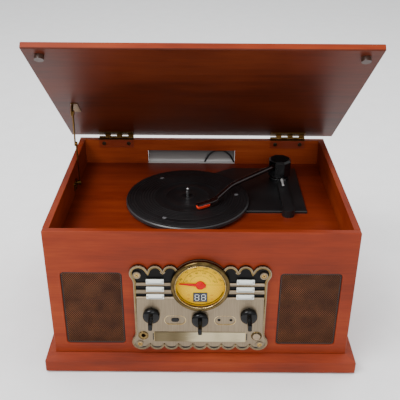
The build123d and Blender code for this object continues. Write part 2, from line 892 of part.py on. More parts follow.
with BuildPart() as platter:
    with BuildSketch(deck_plane(platter_top)):
        with Locations((platter_x, platter_y)):
            Circle(platter_radius)
    extrude(amount=-platter_skin)
    with BuildSketch(deck_plane(platter_lift)):
        with Locations((platter_x, platter_y)):
            Circle(platter_radius)
            Circle(platter_radius - platter_wall, mode=Mode.SUBTRACT)
            Circle(drum_radius)
            Circle(drum_radius - drum_wall, mode=Mode.SUBTRACT)
            Circle(hub_radius)
    extrude(amount=platter_top - platter_lift)
    with BuildSketch(deck_plane(platter_lift)):
        with Locations((platter_x, platter_y)):
            Circle(spindle_radius + running_gap)
    extrude(amount=platter_top - platter_lift, mode=Mode.SUBTRACT)
    chamfer(platter.edges().group_by(Axis.Z)[-1].sort_by(SortBy.LENGTH)[-1], platter_edge)
save(platter, "platter")

with BuildPart() as platter_mat:
    with BuildSketch(deck_plane(platter_top)):
        with Locations((platter_x, platter_y)):
            Circle(mat_radius)
            Circle(spindle_radius + running_gap, mode=Mode.SUBTRACT)
    extrude(amount=mat_top - platter_top)
    with BuildSketch(deck_plane(mat_top)):
        with Locations((platter_x, platter_y)):
            Circle(mat_recess_radius)
    extrude(amount=-mat_recess_depth, mode=Mode.SUBTRACT)
save(platter_mat, "platter_mat")

with BuildPart() as motor:
    with BuildSketch(deck_plane(0)):
        with Locations((motor_x, motor_y)):
            Circle(motor_radius)
    extrude(amount=-motor_length)
    fillet(motor.edges().sort_by(Axis.Z)[0], motor_round)
    with BuildSketch(deck_plane(0)):
        with Locations((motor_x, motor_y)):
            Circle(motor_shaft_radius)
    extrude(amount=platter_top - platter_skin - 2 * moving_gap)
save(motor, "motor")

pulley_bottom = chassis_thickness + 2 * moving_gap
with BuildPart() as motor_pulley:
    with BuildSketch(deck_plane(pulley_bottom + pulley_lift)):
        with Locations((motor_x, motor_y)):
            Circle(pulley_radius)
            Circle(motor_shaft_radius + running_gap, mode=Mode.SUBTRACT)
    extrude(amount=pulley_height)
save(motor_pulley, "motor_pulley")

belt_bottom = platter_lift + moving_gap
with BuildPart() as drive_belt:
    for grow, mode in ((moving_gap + belt_thickness, Mode.ADD), (moving_gap, Mode.SUBTRACT)):
        with BuildSketch(deck_plane(belt_bottom)):
            with Locations((platter_x, platter_y)):
                Circle(drum_radius + grow)
            with Locations((motor_x, motor_y)):
                Circle(pulley_radius + grow)
            make_hull()
        extrude(amount=belt_height, mode=mode)
save(drive_belt, "drive_belt")

# Tonearm: a fixed stepped base, a housing that swings on its post, and an arm that tips in the housing
base_top = chassis_thickness + arm_base_height
with BuildPart() as tonearm_base:
    with BuildSketch(deck_plane(chassis_thickness)):
        with Locations((arm_pivot_x, arm_pivot_y)):
            Circle(arm_base_radius)
    extrude(amount=arm_base_height)
    fillet(tonearm_base.edges().sort_by(Axis.Z)[-1], arm_base_round)
    with BuildSketch(deck_plane(base_top)):
        with Locations((arm_pivot_x, arm_pivot_y)):
            Circle(arm_neck_radius)
    extrude(amount=housing_bottom - moving_gap - base_top)
    with BuildSketch(deck_plane(0)):
        with Locations((arm_pivot_x, arm_pivot_y)):
            Circle(arm_post_radius)
    extrude(amount=arm_axis_height - arm_tube_radius - arm_post_below_tube)
save(tonearm_base, "tonearm_base")

arm_lean = degrees(
    atan2(arm_elbow_from_line - arm_pivot_from_line, arm_elbow_x - arm_pivot_x)
)
housing_plane = Plane(
    origin=(arm_pivot_x, arm_pivot_y, deck_z),
    x_dir=(cos(radians(arm_lean)), sin(radians(arm_lean)), 0),
    z_dir=(0, 0, 1),
)
slot_bottom = arm_axis_height - arm_tube_radius - arm_slot_below
with BuildPart() as arm_housing:
    with BuildSketch(housing_plane.offset(housing_bottom)):
        Rectangle(housing_width, housing_width)
        chamfer(vertices(), housing_corner)
    extrude(amount=housing_top - housing_bottom)
    chamfer(arm_housing.faces().sort_by(Axis.Z)[-1].edges(), housing_edge)
    with BuildSketch(housing_plane.offset(housing_bottom)):
        Circle(arm_post_radius + running_gap)
    extrude(amount=slot_bottom - housing_bottom, mode=Mode.SUBTRACT)
    with BuildSketch(housing_plane.offset(slot_bottom)):
        with Locations((housing_width / 4, 0)):
            Rectangle(housing_width, housing_slot_width)
    extrude(amount=2 * arm_tube_radius + arm_slot_below + arm_slot_above, mode=Mode.SUBTRACT)
    with BuildSketch(
        Plane(
            origin=housing_plane.origin + Vector(0, 0, arm_axis_height),
            x_dir=housing_plane.x_dir,
            z_dir=housing_plane.y_dir,
        )
    ):
        Circle(arm_trunnion_radius + running_gap)
    extrude(amount=housing_slot_width / 2 + arm_trunnion_length + hole_room / 2, both=True,
            mode=Mode.SUBTRACT)
save(arm_housing, "arm_housing")

arm_pivot = Vector(arm_pivot_x, arm_pivot_y, deck_z + arm_axis_height)
arm_elbow = Vector(arm_elbow_x, works_line + arm_elbow_from_line, deck_z + arm_elbow_height)
arm_neck = Vector(arm_neck_x, works_line + arm_neck_from_line, deck_z + arm_neck_height)
arm_tip = Vector(arm_tip_x, works_line + arm_tip_from_line, deck_z + arm_tip_height)
shell_direction = (arm_tip - arm_neck).normalized()
shell_plane = Plane(origin=arm_neck, x_dir=shell_direction, z_dir=(0, 0, 1))
shell_length = (arm_tip - arm_neck).length
with BuildPart() as tonearm:
    with BuildLine() as arm_path:
        FilletPolyline(arm_pivot, arm_elbow, arm_neck, radius=arm_elbow_bend)
    with BuildSketch(Plane(origin=arm_pivot, z_dir=arm_path.line % 0)):
        Circle(arm_tube_radius)
    sweep()
    with BuildSketch(shell_plane.offset(-shell_height / 2)):
        with Locations(((shell_length + shell_past_tip - shell_behind_neck) / 2, 0)):
            RectangleRounded(
                shell_length + shell_past_tip + shell_behind_neck, shell_width, shell_corner
            )
    extrude(amount=shell_height)
    with BuildSketch(
        Plane(origin=arm_pivot, x_dir=housing_plane.x_dir, z_dir=housing_plane.y_dir)
    ):
        Circle(arm_trunnion_radius)
    extrude(amount=housing_slot_width / 2 + arm_trunnion_length, both=True)
save(tonearm, "tonearm")

with BuildPart() as cartridge:
    with BuildSketch(shell_plane.offset(-shell_height / 2)):
        with Locations((shell_length - cartridge_length / 2 - cartridge_from_tip, 0)):
            RectangleRounded(cartridge_length, cartridge_width, cartridge_corner)
    extrude(amount=-cartridge_height)
save(cartridge, "cartridge")

# Cue lever
with BuildPart() as cue_lever:
    with BuildSketch(side_plane(cue_lever_x - cue_lever_width / 2)):
        with Locations((cue_y - cue_lever_length / 2, deck_z + cue_lever_height)):
            Rectangle(cue_lever_length, cue_lever_width / 2)
        with Locations((cue_y, deck_z + cue_lever_height)):
            Circle(cue_lever_width / 2)
            Circle(cue_pin_radius + running_gap, mode=Mode.SUBTRACT)
    extrude(amount=cue_lever_width)
save(cue_lever, "cue_lever")

# Front plate. Its outline has round lobes along the top and bottom edges and waisted sides.
bottom_cusps = [lobe_pitch * (n + 0.5) for n in range(4)]
cusp_x = bottom_cusps[-1]
top_rise = top_edge - top_cusp
bottom_rise = bottom_cusp - bottom_edge


def corner_centre_x(radius, rise):
    """Where a corner circle stands, so that it passes through the last cusp."""
    return cusp_x + sqrt(2 * radius * rise - rise**2)


def flare_points(centre_x, centre_z, radius, way):
    """Where the hollow flare meets the corner circle and the straight side."""
    across = plate_side + side_flare_radius - centre_x
    reach = radius + side_flare_radius
    along = sqrt(reach**2 - across**2)
    on_circle = (
        centre_x + across * radius / reach,
        centre_z + way * along * radius / reach,
    )
    on_side = (plate_side, centre_z + way * along)
    return on_circle, on_side


top_corner_x = corner_centre_x(top_corner_radius, top_rise)
top_corner_z = top_edge - top_corner_radius
bottom_corner_x = corner_centre_x(bottom_corner_radius, bottom_rise)
bottom_corner_z = bottom_edge + bottom_corner_radius
top_flare, top_side = flare_points(top_corner_x, top_corner_z, top_corner_radius, -1)
bottom_flare, bottom_side = flare_points(bottom_corner_x, bottom_corner_z, bottom_corner_radius, 1)


def flare_middle(on_circle, on_side):
    """The point halfway round the hollow flare."""
    centre_x = plate_side + side_flare_radius
    turn = atan2(on_circle[1] - on_side[1], centre_x - on_circle[0]) / 2
    return (
        centre_x - side_flare_radius * cos(turn),
        on_side[1] + side_flare_radius * sin(turn),
    )


def lobes(height, crest, starts):
    """Round lobes that run from one cusp to the next."""
    for start in starts:
        ThreePointArc(
            (start, height), (start + lobe_pitch / 2, crest), (start + lobe_pitch, height)
        )


# The right half is drawn and mirrored; the middle lobe at the bottom is drawn whole
with BuildSketch() as plate_outline:
    with BuildLine():
        Line((0, bottom_cusp), (0, top_cusp))
        Line((0, top_cusp), (cusp_x - 2 * lobe_pitch, top_cusp))
        lobes(top_cusp, top_edge, [cusp_x - n * lobe_pitch for n in (2, 1)])
        ThreePointArc((cusp_x, top_cusp), (top_corner_x, top_edge), top_flare)
        ThreePointArc(top_flare, flare_middle(top_flare, top_side), top_side)
        Line(top_side, bottom_side)
        ThreePointArc(bottom_side, flare_middle(bottom_flare, bottom_side), bottom_flare)
        ThreePointArc(bottom_flare, (bottom_corner_x, bottom_edge), (cusp_x, bottom_cusp))
        lobes(bottom_cusp, bottom_edge, [cusp_x - n * lobe_pitch for n in (3, 2, 1)])
        Line((lobe_pitch / 2, bottom_cusp), (0, bottom_cusp))
    make_face()
    mirror(about=Plane.YZ)
    with BuildLine():
        lobes(bottom_cusp, bottom_edge, [-lobe_pitch / 2])
        Line((lobe_pitch / 2, bottom_cusp), (-lobe_pitch / 2, bottom_cusp))
    make_face()


window_x = (louvre_outer + louvre_inner) / 2
window_width = louvre_outer - louvre_inner
side_screws = [
    (side * x, z)
    for side in (-1, 1)
    for x, z in ((plate_screw_top_x, plate_screw_top_z), (plate_screw_bottom_x, plate_screw_bottom_z))
]
knob_places = ((-knob_offset, side_knob_z), (0, middle_knob_z), (knob_offset, side_knob_z))
button_places = [(side * button_offset, z) for side in (-1, 1) for z in button_rows]

# Dark recess above the top louvre bar, inside the lobes
with BuildSketch() as upper_gap:
    add(plate_outline.sketch_local)
    offset(amount=-louvre_lobe_margin)
    with Locations((0, (upper_gap_bottom + bottom_edge) / 2)):
        Rectangle(4 * plate_side, upper_gap_bottom - bottom_edge, mode=Mode.SUBTRACT)
    with Locations(*side_screws[::2]):
        Circle(plate_screw_ring, mode=Mode.SUBTRACT)

with BuildPart() as faceplate:
    with BuildSketch(face):
        add(plate_outline.sketch_local)
        with Locations((0, dial_z)):
            Circle(bezel_radius)
    extrude(amount=plate_rim_height)
    with BuildSketch(face.offset(plate_thickness)):
        add(plate_outline.sketch_local)
        offset(amount=-plate_rim_width)
        with Locations(*side_screws):
            Circle(plate_screw_ring, mode=Mode.SUBTRACT)
    extrude(amount=plate_rim_height - plate_thickness, mode=Mode.SUBTRACT)
    with BuildSketch(face.offset(plate_thickness)):
        with Locations((0, dial_z)):
            Circle(bezel_radius)
    extrude(amount=plate_rim_height - plate_thickness, mode=Mode.SUBTRACT)
    with BuildSketch(face):
        add(plate_outline.sketch_local)
        with Locations((0, dial_z)):
            Circle(bezel_radius)
        offset(amount=-(backing_inset - seat_gap))
    extrude(amount=backing_thickness, mode=Mode.SUBTRACT)
    with BuildSketch(face.offset(gap_floor)):
        add(upper_gap.sketch_local)
        for side in (-1, 1):
            for low, high in (
                (middle_gap_bottom, middle_gap_top), (lower_gap_bottom, lower_gap_top)
            ):
                with Locations((side * window_x, (low + high) / 2)):
                    Rectangle(window_width, high - low)
    extrude(amount=plate_rim_height - gap_floor, mode=Mode.SUBTRACT)
    with BuildSketch(face):
        with Locations(*button_places):
            Rectangle(button_width + 2 * slide_gap, button_height + 2 * slide_gap)
        with Locations((0, dial_z)):
            Circle(bezel_seat_radius)
        with Locations((0, drawer_z)):
            Rectangle(drawer_front_width + 2 * slide_gap, drawer_front_height + 2 * slide_gap)
        with Locations(*knob_places):
            Circle(knob_shaft_radius + slide_gap)
        with Locations((power_offset, power_z)):
            Circle(power_radius + slide_gap)
        with Locations((-power_offset, power_z)):
            Circle(jack_body_radius + seat_gap)
        with Locations(*side_screws):
            Circle(plate_screw_radius + running_gap)
    extrude(amount=plate_rim_height, mode=Mode.SUBTRACT)
    with BuildSketch(face.offset(plate_thickness)):
        with Locations((-pill_offset, pill_z), (pill_offset, pill_z)):
            SlotOverall(pill_length, pill_height)
    extrude(amount=-pill_depth, mode=Mode.SUBTRACT)
    with BuildSketch(face):
        with Locations((pill_offset - pill_hole_spacing / 2, pill_z),
                       (pill_offset + pill_hole_spacing / 2, pill_z)):
            Circle(pill_hole_radius)
        with Locations((-pill_offset, pill_z)):
            SlotOverall(infrared_width + 2 * seat_gap, infrared_height + 2 * seat_gap)
    extrude(amount=plate_rim_height, mode=Mode.SUBTRACT)
    with BuildSketch(face.offset(plate_rim_height)):
        with Locations(*side_screws):
            Circle(plate_screw_head_radius + seat_gap)
    extrude(amount=-plate_screw_seat, mode=Mode.SUBTRACT)
save(faceplate, "faceplate")

with BuildPart() as panel_backing:
    with BuildSketch(face):
        add(plate_outline.sketch_local)
        with Locations((0, dial_z)):
            Circle(bezel_radius)
        offset(amount=-backing_inset)
        with Locations((0, dial_z)):
            Circle(dial_bush_radius + seat_gap, mode=Mode.SUBTRACT)
        with Locations(*button_places):
            Rectangle(
                button_stem_width + 2 * slide_gap,
                button_stem_height + 2 * slide_gap,
                mode=Mode.SUBTRACT,
            )
        with Locations((0, drawer_z)):
            Rectangle(
                drawer_front_width + 2 * slide_gap,
                drawer_front_height + 2 * slide_gap,
                mode=Mode.SUBTRACT,
            )
        with Locations(*knob_places):
            Circle(knob_shaft_radius + slide_gap, mode=Mode.SUBTRACT)
        with Locations((power_offset, power_z)):
            Circle(power_stem_radius + slide_gap, mode=Mode.SUBTRACT)
        with Locations((-power_offset, power_z)):
            Circle(jack_body_radius + seat_gap, mode=Mode.SUBTRACT)
        with Locations(*side_screws):
            Circle(plate_screw_radius + slide_gap, mode=Mode.SUBTRACT)
    extrude(amount=backing_thickness)
save(panel_backing, "panel_backing")

with BuildPart() as faceplate_screws:
    with BuildSketch(face.offset(plate_rim_height - plate_screw_seat)):
        with Locations(*side_screws):
            Circle(plate_screw_head_radius)
    extrude(amount=plate_screw_head_height)
    fillet(faceplate_screws.faces().filter_by(Axis.Y).sort_by(Axis.Y)[:4].edges(), plate_screw_round)
    with BuildSketch(face.offset(plate_rim_height - plate_screw_seat)):
        with Locations(*side_screws):
            Circle(plate_screw_radius)
    extrude(amount=-(plate_rim_height - plate_screw_seat))
save(faceplate_screws, "faceplate_screws")

# Dial. A ring is drawn from the dial's centre line outwards and turned about that line.
dial_profile = Plane(
    origin=(panel_x, front_y, plinth_top + dial_z), x_dir=(1, 0, 0), z_dir=(0, 0, 1)
)
dial_axis = Axis((panel_x, front_y, plinth_top + dial_z), (0, -1, 0))
with BuildPart() as dial_bezel:
    with BuildSketch(dial_profile):
        with BuildLine():
            Polyline(
                (bezel_lip_radius, bezel_lip_drop - bezel_front),
                (bezel_lip_radius, -lens_front),
                (bezel_seat_radius, -lens_front),
                (bezel_seat_radius, -plate_thickness),
                (bezel_radius, -plate_thickness),
                (bezel_radius, bezel_crown_drop - bezel_front),
            )
            ThreePointArc(
                (bezel_radius, bezel_crown_drop - bezel_front),
                (bezel_radius - bezel_round_across, bezel_round_drop - bezel_front),
                (bezel_radius - bezel_crown_width, -bezel_front),
            )
            Line(
                (bezel_radius - bezel_crown_width, -bezel_front),
                (bezel_lip_radius, bezel_lip_drop - bezel_front),
            )
        make_face()
    revolve(axis=dial_axis)
save(dial_bezel, "dial_bezel")

with BuildPart() as dial_lens:
    with BuildSketch(face.offset(lens_front - seat_gap / 2)):
        with Locations((0, dial_z)):
            Circle(bezel_seat_radius - seat_gap)
    extrude(amount=-lens_thickness)
save(dial_lens, "dial_lens")

with BuildPart() as dial_face:
    with BuildSketch(face.offset(backing_thickness)):
        with Locations((0, dial_z)):
            Circle(bezel_seat_radius - seat_gap)
    extrude(amount=dial_face_thickness)
    with BuildSketch(face.offset(backing_thickness)):
        with Locations((0, dial_z)):
            Circle(dial_bush_radius)
    extrude(amount=-dial_bush_length)
    with BuildSketch(face.offset(backing_thickness + dial_face_thickness)):
        with Locations((0, dial_z)):
            Circle(needle_shaft_radius + running_gap)
    extrude(amount=-(dial_face_thickness + dial_bush_length), mode=Mode.SUBTRACT)
save(dial_face, "dial_face")

dial_front = backing_thickness + dial_face_thickness
with BuildPart() as dial_needle:
    with BuildSketch(face.offset(dial_front - dial_bush_length)):
        with Locations((0, dial_z)):
            Circle(needle_shaft_radius)
    extrude(amount=dial_bush_length + moving_gap)
    with BuildSketch(face.offset(dial_front + moving_gap)):
        with Locations((0, dial_z)):
            Circle(needle_hub_radius)
    extrude(amount=needle_hub_height)
    fillet(dial_needle.edges().sort_by(Axis.Y)[0], needle_hub_round)
    with BuildSketch(face.offset(dial_front + needle_lift)):
        with Locations(Location((0, dial_z, 0), (0, 0, 180 - needle_rest_angle))):
            with Locations((needle_length / 2, 0)):
                Rectangle(needle_length, needle_blade_width)
    extrude(amount=needle_blade_thickness)
save(dial_needle, "dial_needle")

with BuildPart() as display_windows:
    with BuildSketch(face.offset(dial_front)):
        with Locations((0, dial_z - display_drop)):
            Rectangle(display_width, display_height)
    extrude(amount=display_thickness)
    with BuildSketch(face.offset(backing_thickness)):
        with Locations((-pill_offset, pill_z)):
            SlotOverall(infrared_width, infrared_height)
    extrude(amount=plate_thickness - backing_thickness)
save(display_windows, "display_windows")

# Circuit board behind the plate, and what stands on it
with BuildPart() as circuit_board:
    with BuildSketch(face.offset(-circuit_board_depth)):
        with Locations((0, (circuit_board_bottom + circuit_board_top) / 2)):
            Rectangle(
                2 * circuit_board_half_width - circuit_board_notch,
                circuit_board_top - circuit_board_bottom,
            )
    extrude(amount=-circuit_board_thickness)
save(circuit_board, "circuit_board")

with BuildPart() as control_bodies:
    with BuildSketch(face):
        with Locations(*knob_places):
            Circle(control_body_radius)
    extrude(amount=-circuit_board_depth)
    with BuildSketch(face):
        with Locations(*knob_places):
            Circle(knob_shaft_radius + running_gap)
    extrude(amount=-(circuit_board_depth - control_body_floor), mode=Mode.SUBTRACT)
save(control_bodies, "control_bodies")

# Knobs: a domed skirt with an index nub, a tall grip and a short shaft
for name, (x, z) in zip(("function_knob", "tuning_knob", "volume_knob"), knob_places):
    knob_side = Plane(
        origin=(panel_x + x, front_y, plinth_top + z), x_dir=(0, 0, 1), z_dir=(1, 0, 0)
    )
    skirt_back = plate_thickness + knob_lift
    with BuildPart() as knob:
        with BuildSketch(face.offset(skirt_back)):
            with Locations((x, z)):
                Circle(knob_radius)
            with Locations((x, z + knob_radius)):
                Circle(knob_nub_radius)
        extrude(amount=knob_skirt)
        with BuildSketch(face.offset(skirt_back + knob_skirt)):
            with Locations((x, z)):
                Circle(knob_radius)
        extrude(amount=knob_dome - knob_skirt, taper=knob_taper)
        with BuildSketch(knob_side.offset(-knob_grip_width / 2)):
            with BuildLine():
                Polyline(
                    (knob_grip_length / 2, skirt_back + knob_skirt / 2),
                    (-knob_grip_length / 2, skirt_back + knob_skirt / 2),
                    (-knob_grip_tip / 2, knob_reach),
                    (knob_grip_tip / 2, knob_reach),
                    close=True,
                )
            make_face()
        extrude(amount=knob_grip_width)
        with BuildSketch(face.offset(skirt_back)):
            with Locations((x, z)):
                Circle(knob_shaft_radius)
        extrude(amount=-(skirt_back + circuit_board_depth - control_body_floor - hole_room))
    save(knob, name)

# Push buttons, each on a stem that reaches its switch on the circuit board
button_names = (
    "band_button", "stereo_button", "bass_button", "play_button", "skip_button", "stop_button"
)
for name, (x, z) in zip(button_names, button_places):
    with BuildPart() as button:
        with BuildSketch(face.offset(button_back)):
            with Locations((x, z)):
                Rectangle(button_width, button_height)
        extrude(amount=button_front - button_back)
        fillet(button.faces().sort_by(Axis.Y)[0].edges(), button_round)
        with BuildSketch(face.offset(button_back)):
            with Locations((x, z)):
                Rectangle(button_stem_width, button_stem_height)
        extrude(amount=-(button_back + circuit_board_depth - button_travel - moving_gap))
    save(button, name)

with BuildPart() as power_button:
    with BuildSketch(face.offset(backing_thickness + power_travel + moving_gap)):
        with Locations((power_offset, power_z)):
            Circle(power_radius)
    extrude(amount=power_front - backing_thickness - power_travel - moving_gap)
    fillet(power_button.edges().sort_by(Axis.Y)[0], power_round)
    with BuildSketch(face.offset(backing_thickness + power_travel + moving_gap)):
        with Locations((power_offset, power_z)):
            Circle(power_stem_radius)
    extrude(amount=-power_stem_length)
save(power_button, "power_button")

with BuildPart() as headphone_jack:
    with BuildSketch(face.offset(plate_thickness)):
        with Locations((-power_offset, power_z)):
            Circle(jack_body_radius)
    extrude(amount=-(plate_thickness + board))
    with BuildSketch(face.offset(plate_thickness)):
        with Locations((-power_offset, power_z)):
            Circle(ring_radius)
    extrude(amount=ring_height)
    with BuildSketch(face.offset(plate_rim_height)):
        with Locations((-power_offset, power_z)):
            Circle(jack_hole_radius)
    extrude(amount=-(plate_rim_height + board - jack_floor), mode=Mode.SUBTRACT)
save(headphone_jack, "headphone_jack")

# Disc drawer and the sleeve that it runs in
tray_bottom = drawer_z - tray_height / 2
with BuildPart() as cd_drawer:
    with BuildSketch(face.offset(drawer_front_face - drawer_front_thickness)):
        with Locations((0, drawer_z)):
            RectangleRounded(drawer_front_width, drawer_front_height, drawer_front_corner)
    extrude(amount=drawer_front_thickness)
    with BuildSketch(face.offset(drawer_front_face - drawer_front_thickness)):
        with Locations((0, drawer_z)):
            Rectangle(tray_width, tray_height)
    extrude(amount=-tray_length)
    with BuildSketch(Plane.XY.offset(plinth_top + tray_bottom + tray_height)):
        with Locations((panel_x, front_y + disc_recess_radius + disc_recess_from_front)):
            Circle(disc_recess_radius)
    extrude(amount=-disc_recess_depth, mode=Mode.SUBTRACT)
save(cd_drawer, "cd_drawer")

channel_width = tray_width + 2 * slide_gap
channel_height = tray_height + 2 * slide_gap
sleeve_width = channel_width + 2 * mechanism_wall
sleeve_height = channel_height + 2 * mechanism_wall
mechanism_middle = front_y + board + mechanism_length / 2
with BuildPart() as cd_mechanism:
    with BuildSketch(face.offset(-board)):
        with Locations((0, drawer_z)):
            Rectangle(sleeve_width, sleeve_height)
    extrude(amount=-mechanism_length)
    with BuildSketch(face.offset(-board)):
        with Locations((0, drawer_z)):
            Rectangle(channel_width, channel_height)
    extrude(amount=-(mechanism_length - mechanism_wall), mode=Mode.SUBTRACT)
    with BuildSketch(Plane.XY.offset(plinth_top + bottom_thickness)):
        with Locations((panel_x, mechanism_middle)):
            with GridLocations(
                sleeve_width - mechanism_leg, mechanism_length - mechanism_leg, 2, 2
            ):
                Rectangle(mechanism_leg, mechanism_leg)
    extrude(amount=drawer_z - sleeve_height / 2 - bottom_thickness)
save(cd_mechanism, "cd_mechanism")

# Speakers
with BuildPart() as speaker_grilles:
    with BuildSketch(
        Plane(
            origin=(0, front_y + grille_recess, plinth_top + speaker_window_centre),
            x_dir=(1, 0, 0),
            z_dir=(0, -1, 0),
        )
    ):
        with Locations((-speaker_offset, 0), (speaker_offset, 0)):
            RectangleRounded(
                speaker_window_width - 2 * seat_gap,
                speaker_window_height - 2 * seat_gap,
                speaker_window_corner - seat_gap,
            )
    extrude(amount=-grille_thickness)
save(speaker_grilles, "speaker_grilles")

for side, name in ((-1, "left_speaker"), (1, "right_speaker")):
    speaker_x = side * speaker_offset
    speaker_z = plinth_top + speaker_window_centre
    with BuildPart() as speaker:
        with BuildSketch(
            Plane(origin=(speaker_x, inner_front, speaker_z), x_dir=(1, 0, 0), z_dir=(0, -1, 0))
        ):
            Rectangle(
                speaker_window_width + 2 * driver_flange_margin,
                speaker_window_width + 2 * driver_flange_margin,
            )
            Circle(driver_radius, mode=Mode.SUBTRACT)
        extrude(amount=-driver_flange_thickness)
        with BuildSketch(
            Plane(origin=(speaker_x, inner_front, speaker_z), x_dir=(1, 0, 0), z_dir=(0, 0, 1))
        ):
            with BuildLine():
                Polyline(
                    (driver_radius, 0),
                    (driver_radius + cone_rim, 0),
                    (driver_radius + cone_rim, driver_flange_thickness),
                    (magnet_radius, driver_depth - cone_rim),
                    (magnet_radius, driver_depth + magnet_height),
                    (0, driver_depth + magnet_height),
                    (0, driver_depth - cone_throat - dust_cap_height),
                    (dust_cap_radius, driver_depth - cone_throat),
                    close=True,
                )
            make_face()
        revolve(axis=Axis((speaker_x, inner_front, speaker_z), (0, 1, 0)))
    save(speaker, name)

with BuildPart() as transformer:
    with BuildSketch(Plane.XY.offset(plinth_top + bottom_thickness)):
        with Locations((transformer_x, transformer_y)):
            Rectangle(transformer_width, transformer_depth)
    extrude(amount=transformer_height)
    with BuildSketch(Plane.XY.offset(plinth_top + bottom_thickness + winding_margin)):
        with Locations((transformer_x, transformer_y)):
            RectangleRounded(
                transformer_width - 2 * winding_inset,
                transformer_depth + 2 * winding_overhang,
                winding_corner,
            )
    extrude(amount=transformer_height - 2 * winding_margin)
save(transformer, "transformer")
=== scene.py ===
from math import cos, pi, radians, sin, sqrt

import bpy
import numpy as np
from mathutils import Matrix, Vector
from mathutils.geometry import tessellate_polygon


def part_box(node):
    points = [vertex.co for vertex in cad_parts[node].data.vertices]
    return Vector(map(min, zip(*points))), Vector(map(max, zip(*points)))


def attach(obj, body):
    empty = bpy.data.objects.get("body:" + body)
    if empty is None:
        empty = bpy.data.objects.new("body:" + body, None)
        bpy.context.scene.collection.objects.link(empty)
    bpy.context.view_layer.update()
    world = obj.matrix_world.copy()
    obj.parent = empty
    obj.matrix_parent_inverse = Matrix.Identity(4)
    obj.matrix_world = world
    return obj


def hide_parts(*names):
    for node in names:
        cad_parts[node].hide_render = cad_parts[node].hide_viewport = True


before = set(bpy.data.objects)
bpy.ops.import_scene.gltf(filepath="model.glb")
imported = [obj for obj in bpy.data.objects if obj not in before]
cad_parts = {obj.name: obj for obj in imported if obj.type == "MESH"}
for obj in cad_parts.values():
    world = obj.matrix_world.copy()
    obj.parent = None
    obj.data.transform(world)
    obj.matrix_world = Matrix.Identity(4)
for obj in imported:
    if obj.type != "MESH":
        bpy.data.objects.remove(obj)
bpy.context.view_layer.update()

# A wooden music centre with its lid open: finishes, turned and rounded pieces, camera and light.
# Pieces are worked out in millimetres and scaled to metres as their mesh is made.
MILLIMETRE = 0.001
X, Y, Z = np.eye(3)


def box_mm(node):
    """The lowest and highest corners of a node, in millimetres."""
    low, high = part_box(node)
    return np.array(low) / MILLIMETRE, np.array(high) / MILLIMETRE


panel_low, panel_high = box_mm("front_panel")
deck_z = box_mm("deck_board")[1][2]
front_y = panel_low[1]
plinth_top = panel_low[2]
rim_z = panel_high[2]
inner_front = panel_high[1]
pin_low, pin_high = box_mm("hinge_pins")
hinge_y, hinge_z = (pin_low + pin_high)[1:] / 2
lid_lean = radians(40.5)

# Front plate: across from its middle, up from the top of the plinth, out from the front panel
panel_x = -1.0
gap_floor = 2.0
plate_side = 95.4
side_flare = 16.0
lobe_pitch = 21.3
top_edge, top_cusp = 160.5, 150.0
bottom_edge, bottom_cusp = 10.5, 17.8
top_corner, bottom_corner = 13.2, 14.0
dial_v = 127.5
bezel_radius = 42.5
knob_places = ((-71.0, 75.4), (0.0, 68.4), (71.0, 75.4))
knob_names = ("function_knob", "tuning_knob", "volume_knob")
button_rows = (134.4, 121.3, 108.4)
button_names = ("band_button", "stereo_button", "bass_button", "play_button", "skip_button", "stop_button")
screw_places = ((-90.0, 144.5), (90.0, 144.5), (-89.3, 20.5), (89.3, 20.5))
drawer_v = 34.4
jack_u, jack_v = 84.0, 36.5
display_v = 106.2
button_u = 64.5

# Louvre bars: the foot, top and inner end of each, and the outer end of all
louvre_bars = ((126.9, 131.2, 39.5), (113.5, 118.9, 38.0), (104.2, 106.8, 33.0))
louvre_end = 92.0

# Grilles: across from the middle of the cabinet, up from the top of the plinth
grille_u, grille_v = 156.7, 81.25

# Turntable and arm, up from the deck
platter_x, platter_y = -22.5, 15.3
arm_pivot = (134.0, 102.7, 31.0)
arm_elbow = (48.0, 28.7, 26.5)
arm_neck = (21.0, -15.3, 23.0)
arm_tip = (-7.0, -31.3, 22.0)


class Place:
    """Where a piece is drawn: an origin and three directions, across, up and out of the drawing."""

    def __init__(self, origin, across, up, out):
        self.origin = np.array(origin, float)
        self.turn = np.array([across, up, out], float)

    def put(self, points):
        """The origin plus each coordinate times its direction."""
        return self.origin + np.asarray(points, float) @ self.turn

    def moved(self, across, up, out=0.0):
        return Place(self.put((across, up, out)), *self.turn)


panel_front = Place((0, front_y, plinth_top), X, Z, -Y)
face = Place((panel_x, front_y, plinth_top), X, Z, -Y)
deck = Place((0, 0, deck_z), X, Y, Z)
along_face = Place((panel_x, front_y, plinth_top), Z, -Y, X)


def grid_faces(rows, columns, round_rows=False, round_columns=False):
    """Four-cornered faces of a grid of points, row by row; a round way joins its last line to its first."""
    row, column = np.meshgrid(
        np.arange(rows - (not round_rows)), np.arange(columns - (not round_columns)), indexing="ij"
    )
    next_row, next_column = (row + 1) % rows, (column + 1) % columns
    corners = (
        row * columns + column, row * columns + next_column,
        next_row * columns + next_column, next_row * columns + column,
    )
    return np.stack(corners, -1).reshape(-1, 4).tolist()


def end_faces(rows, columns):
    """The two flat faces that close a grid's first and last rows."""
    return [list(range(columns))[::-1], [(rows - 1) * columns + n for n in range(columns)]]


def joined(*shapes):
    """Several shapes as one: their points in a row, their faces counted on."""
    points, faces = [], []
    start = 0
    for some_points, some_faces in shapes:
        points.append(np.asarray(some_points, float).reshape(-1, 3))
        faces += [[corner + start for corner in one] for one in some_faces]
        start += len(points[-1])
    return np.concatenate(points), faces


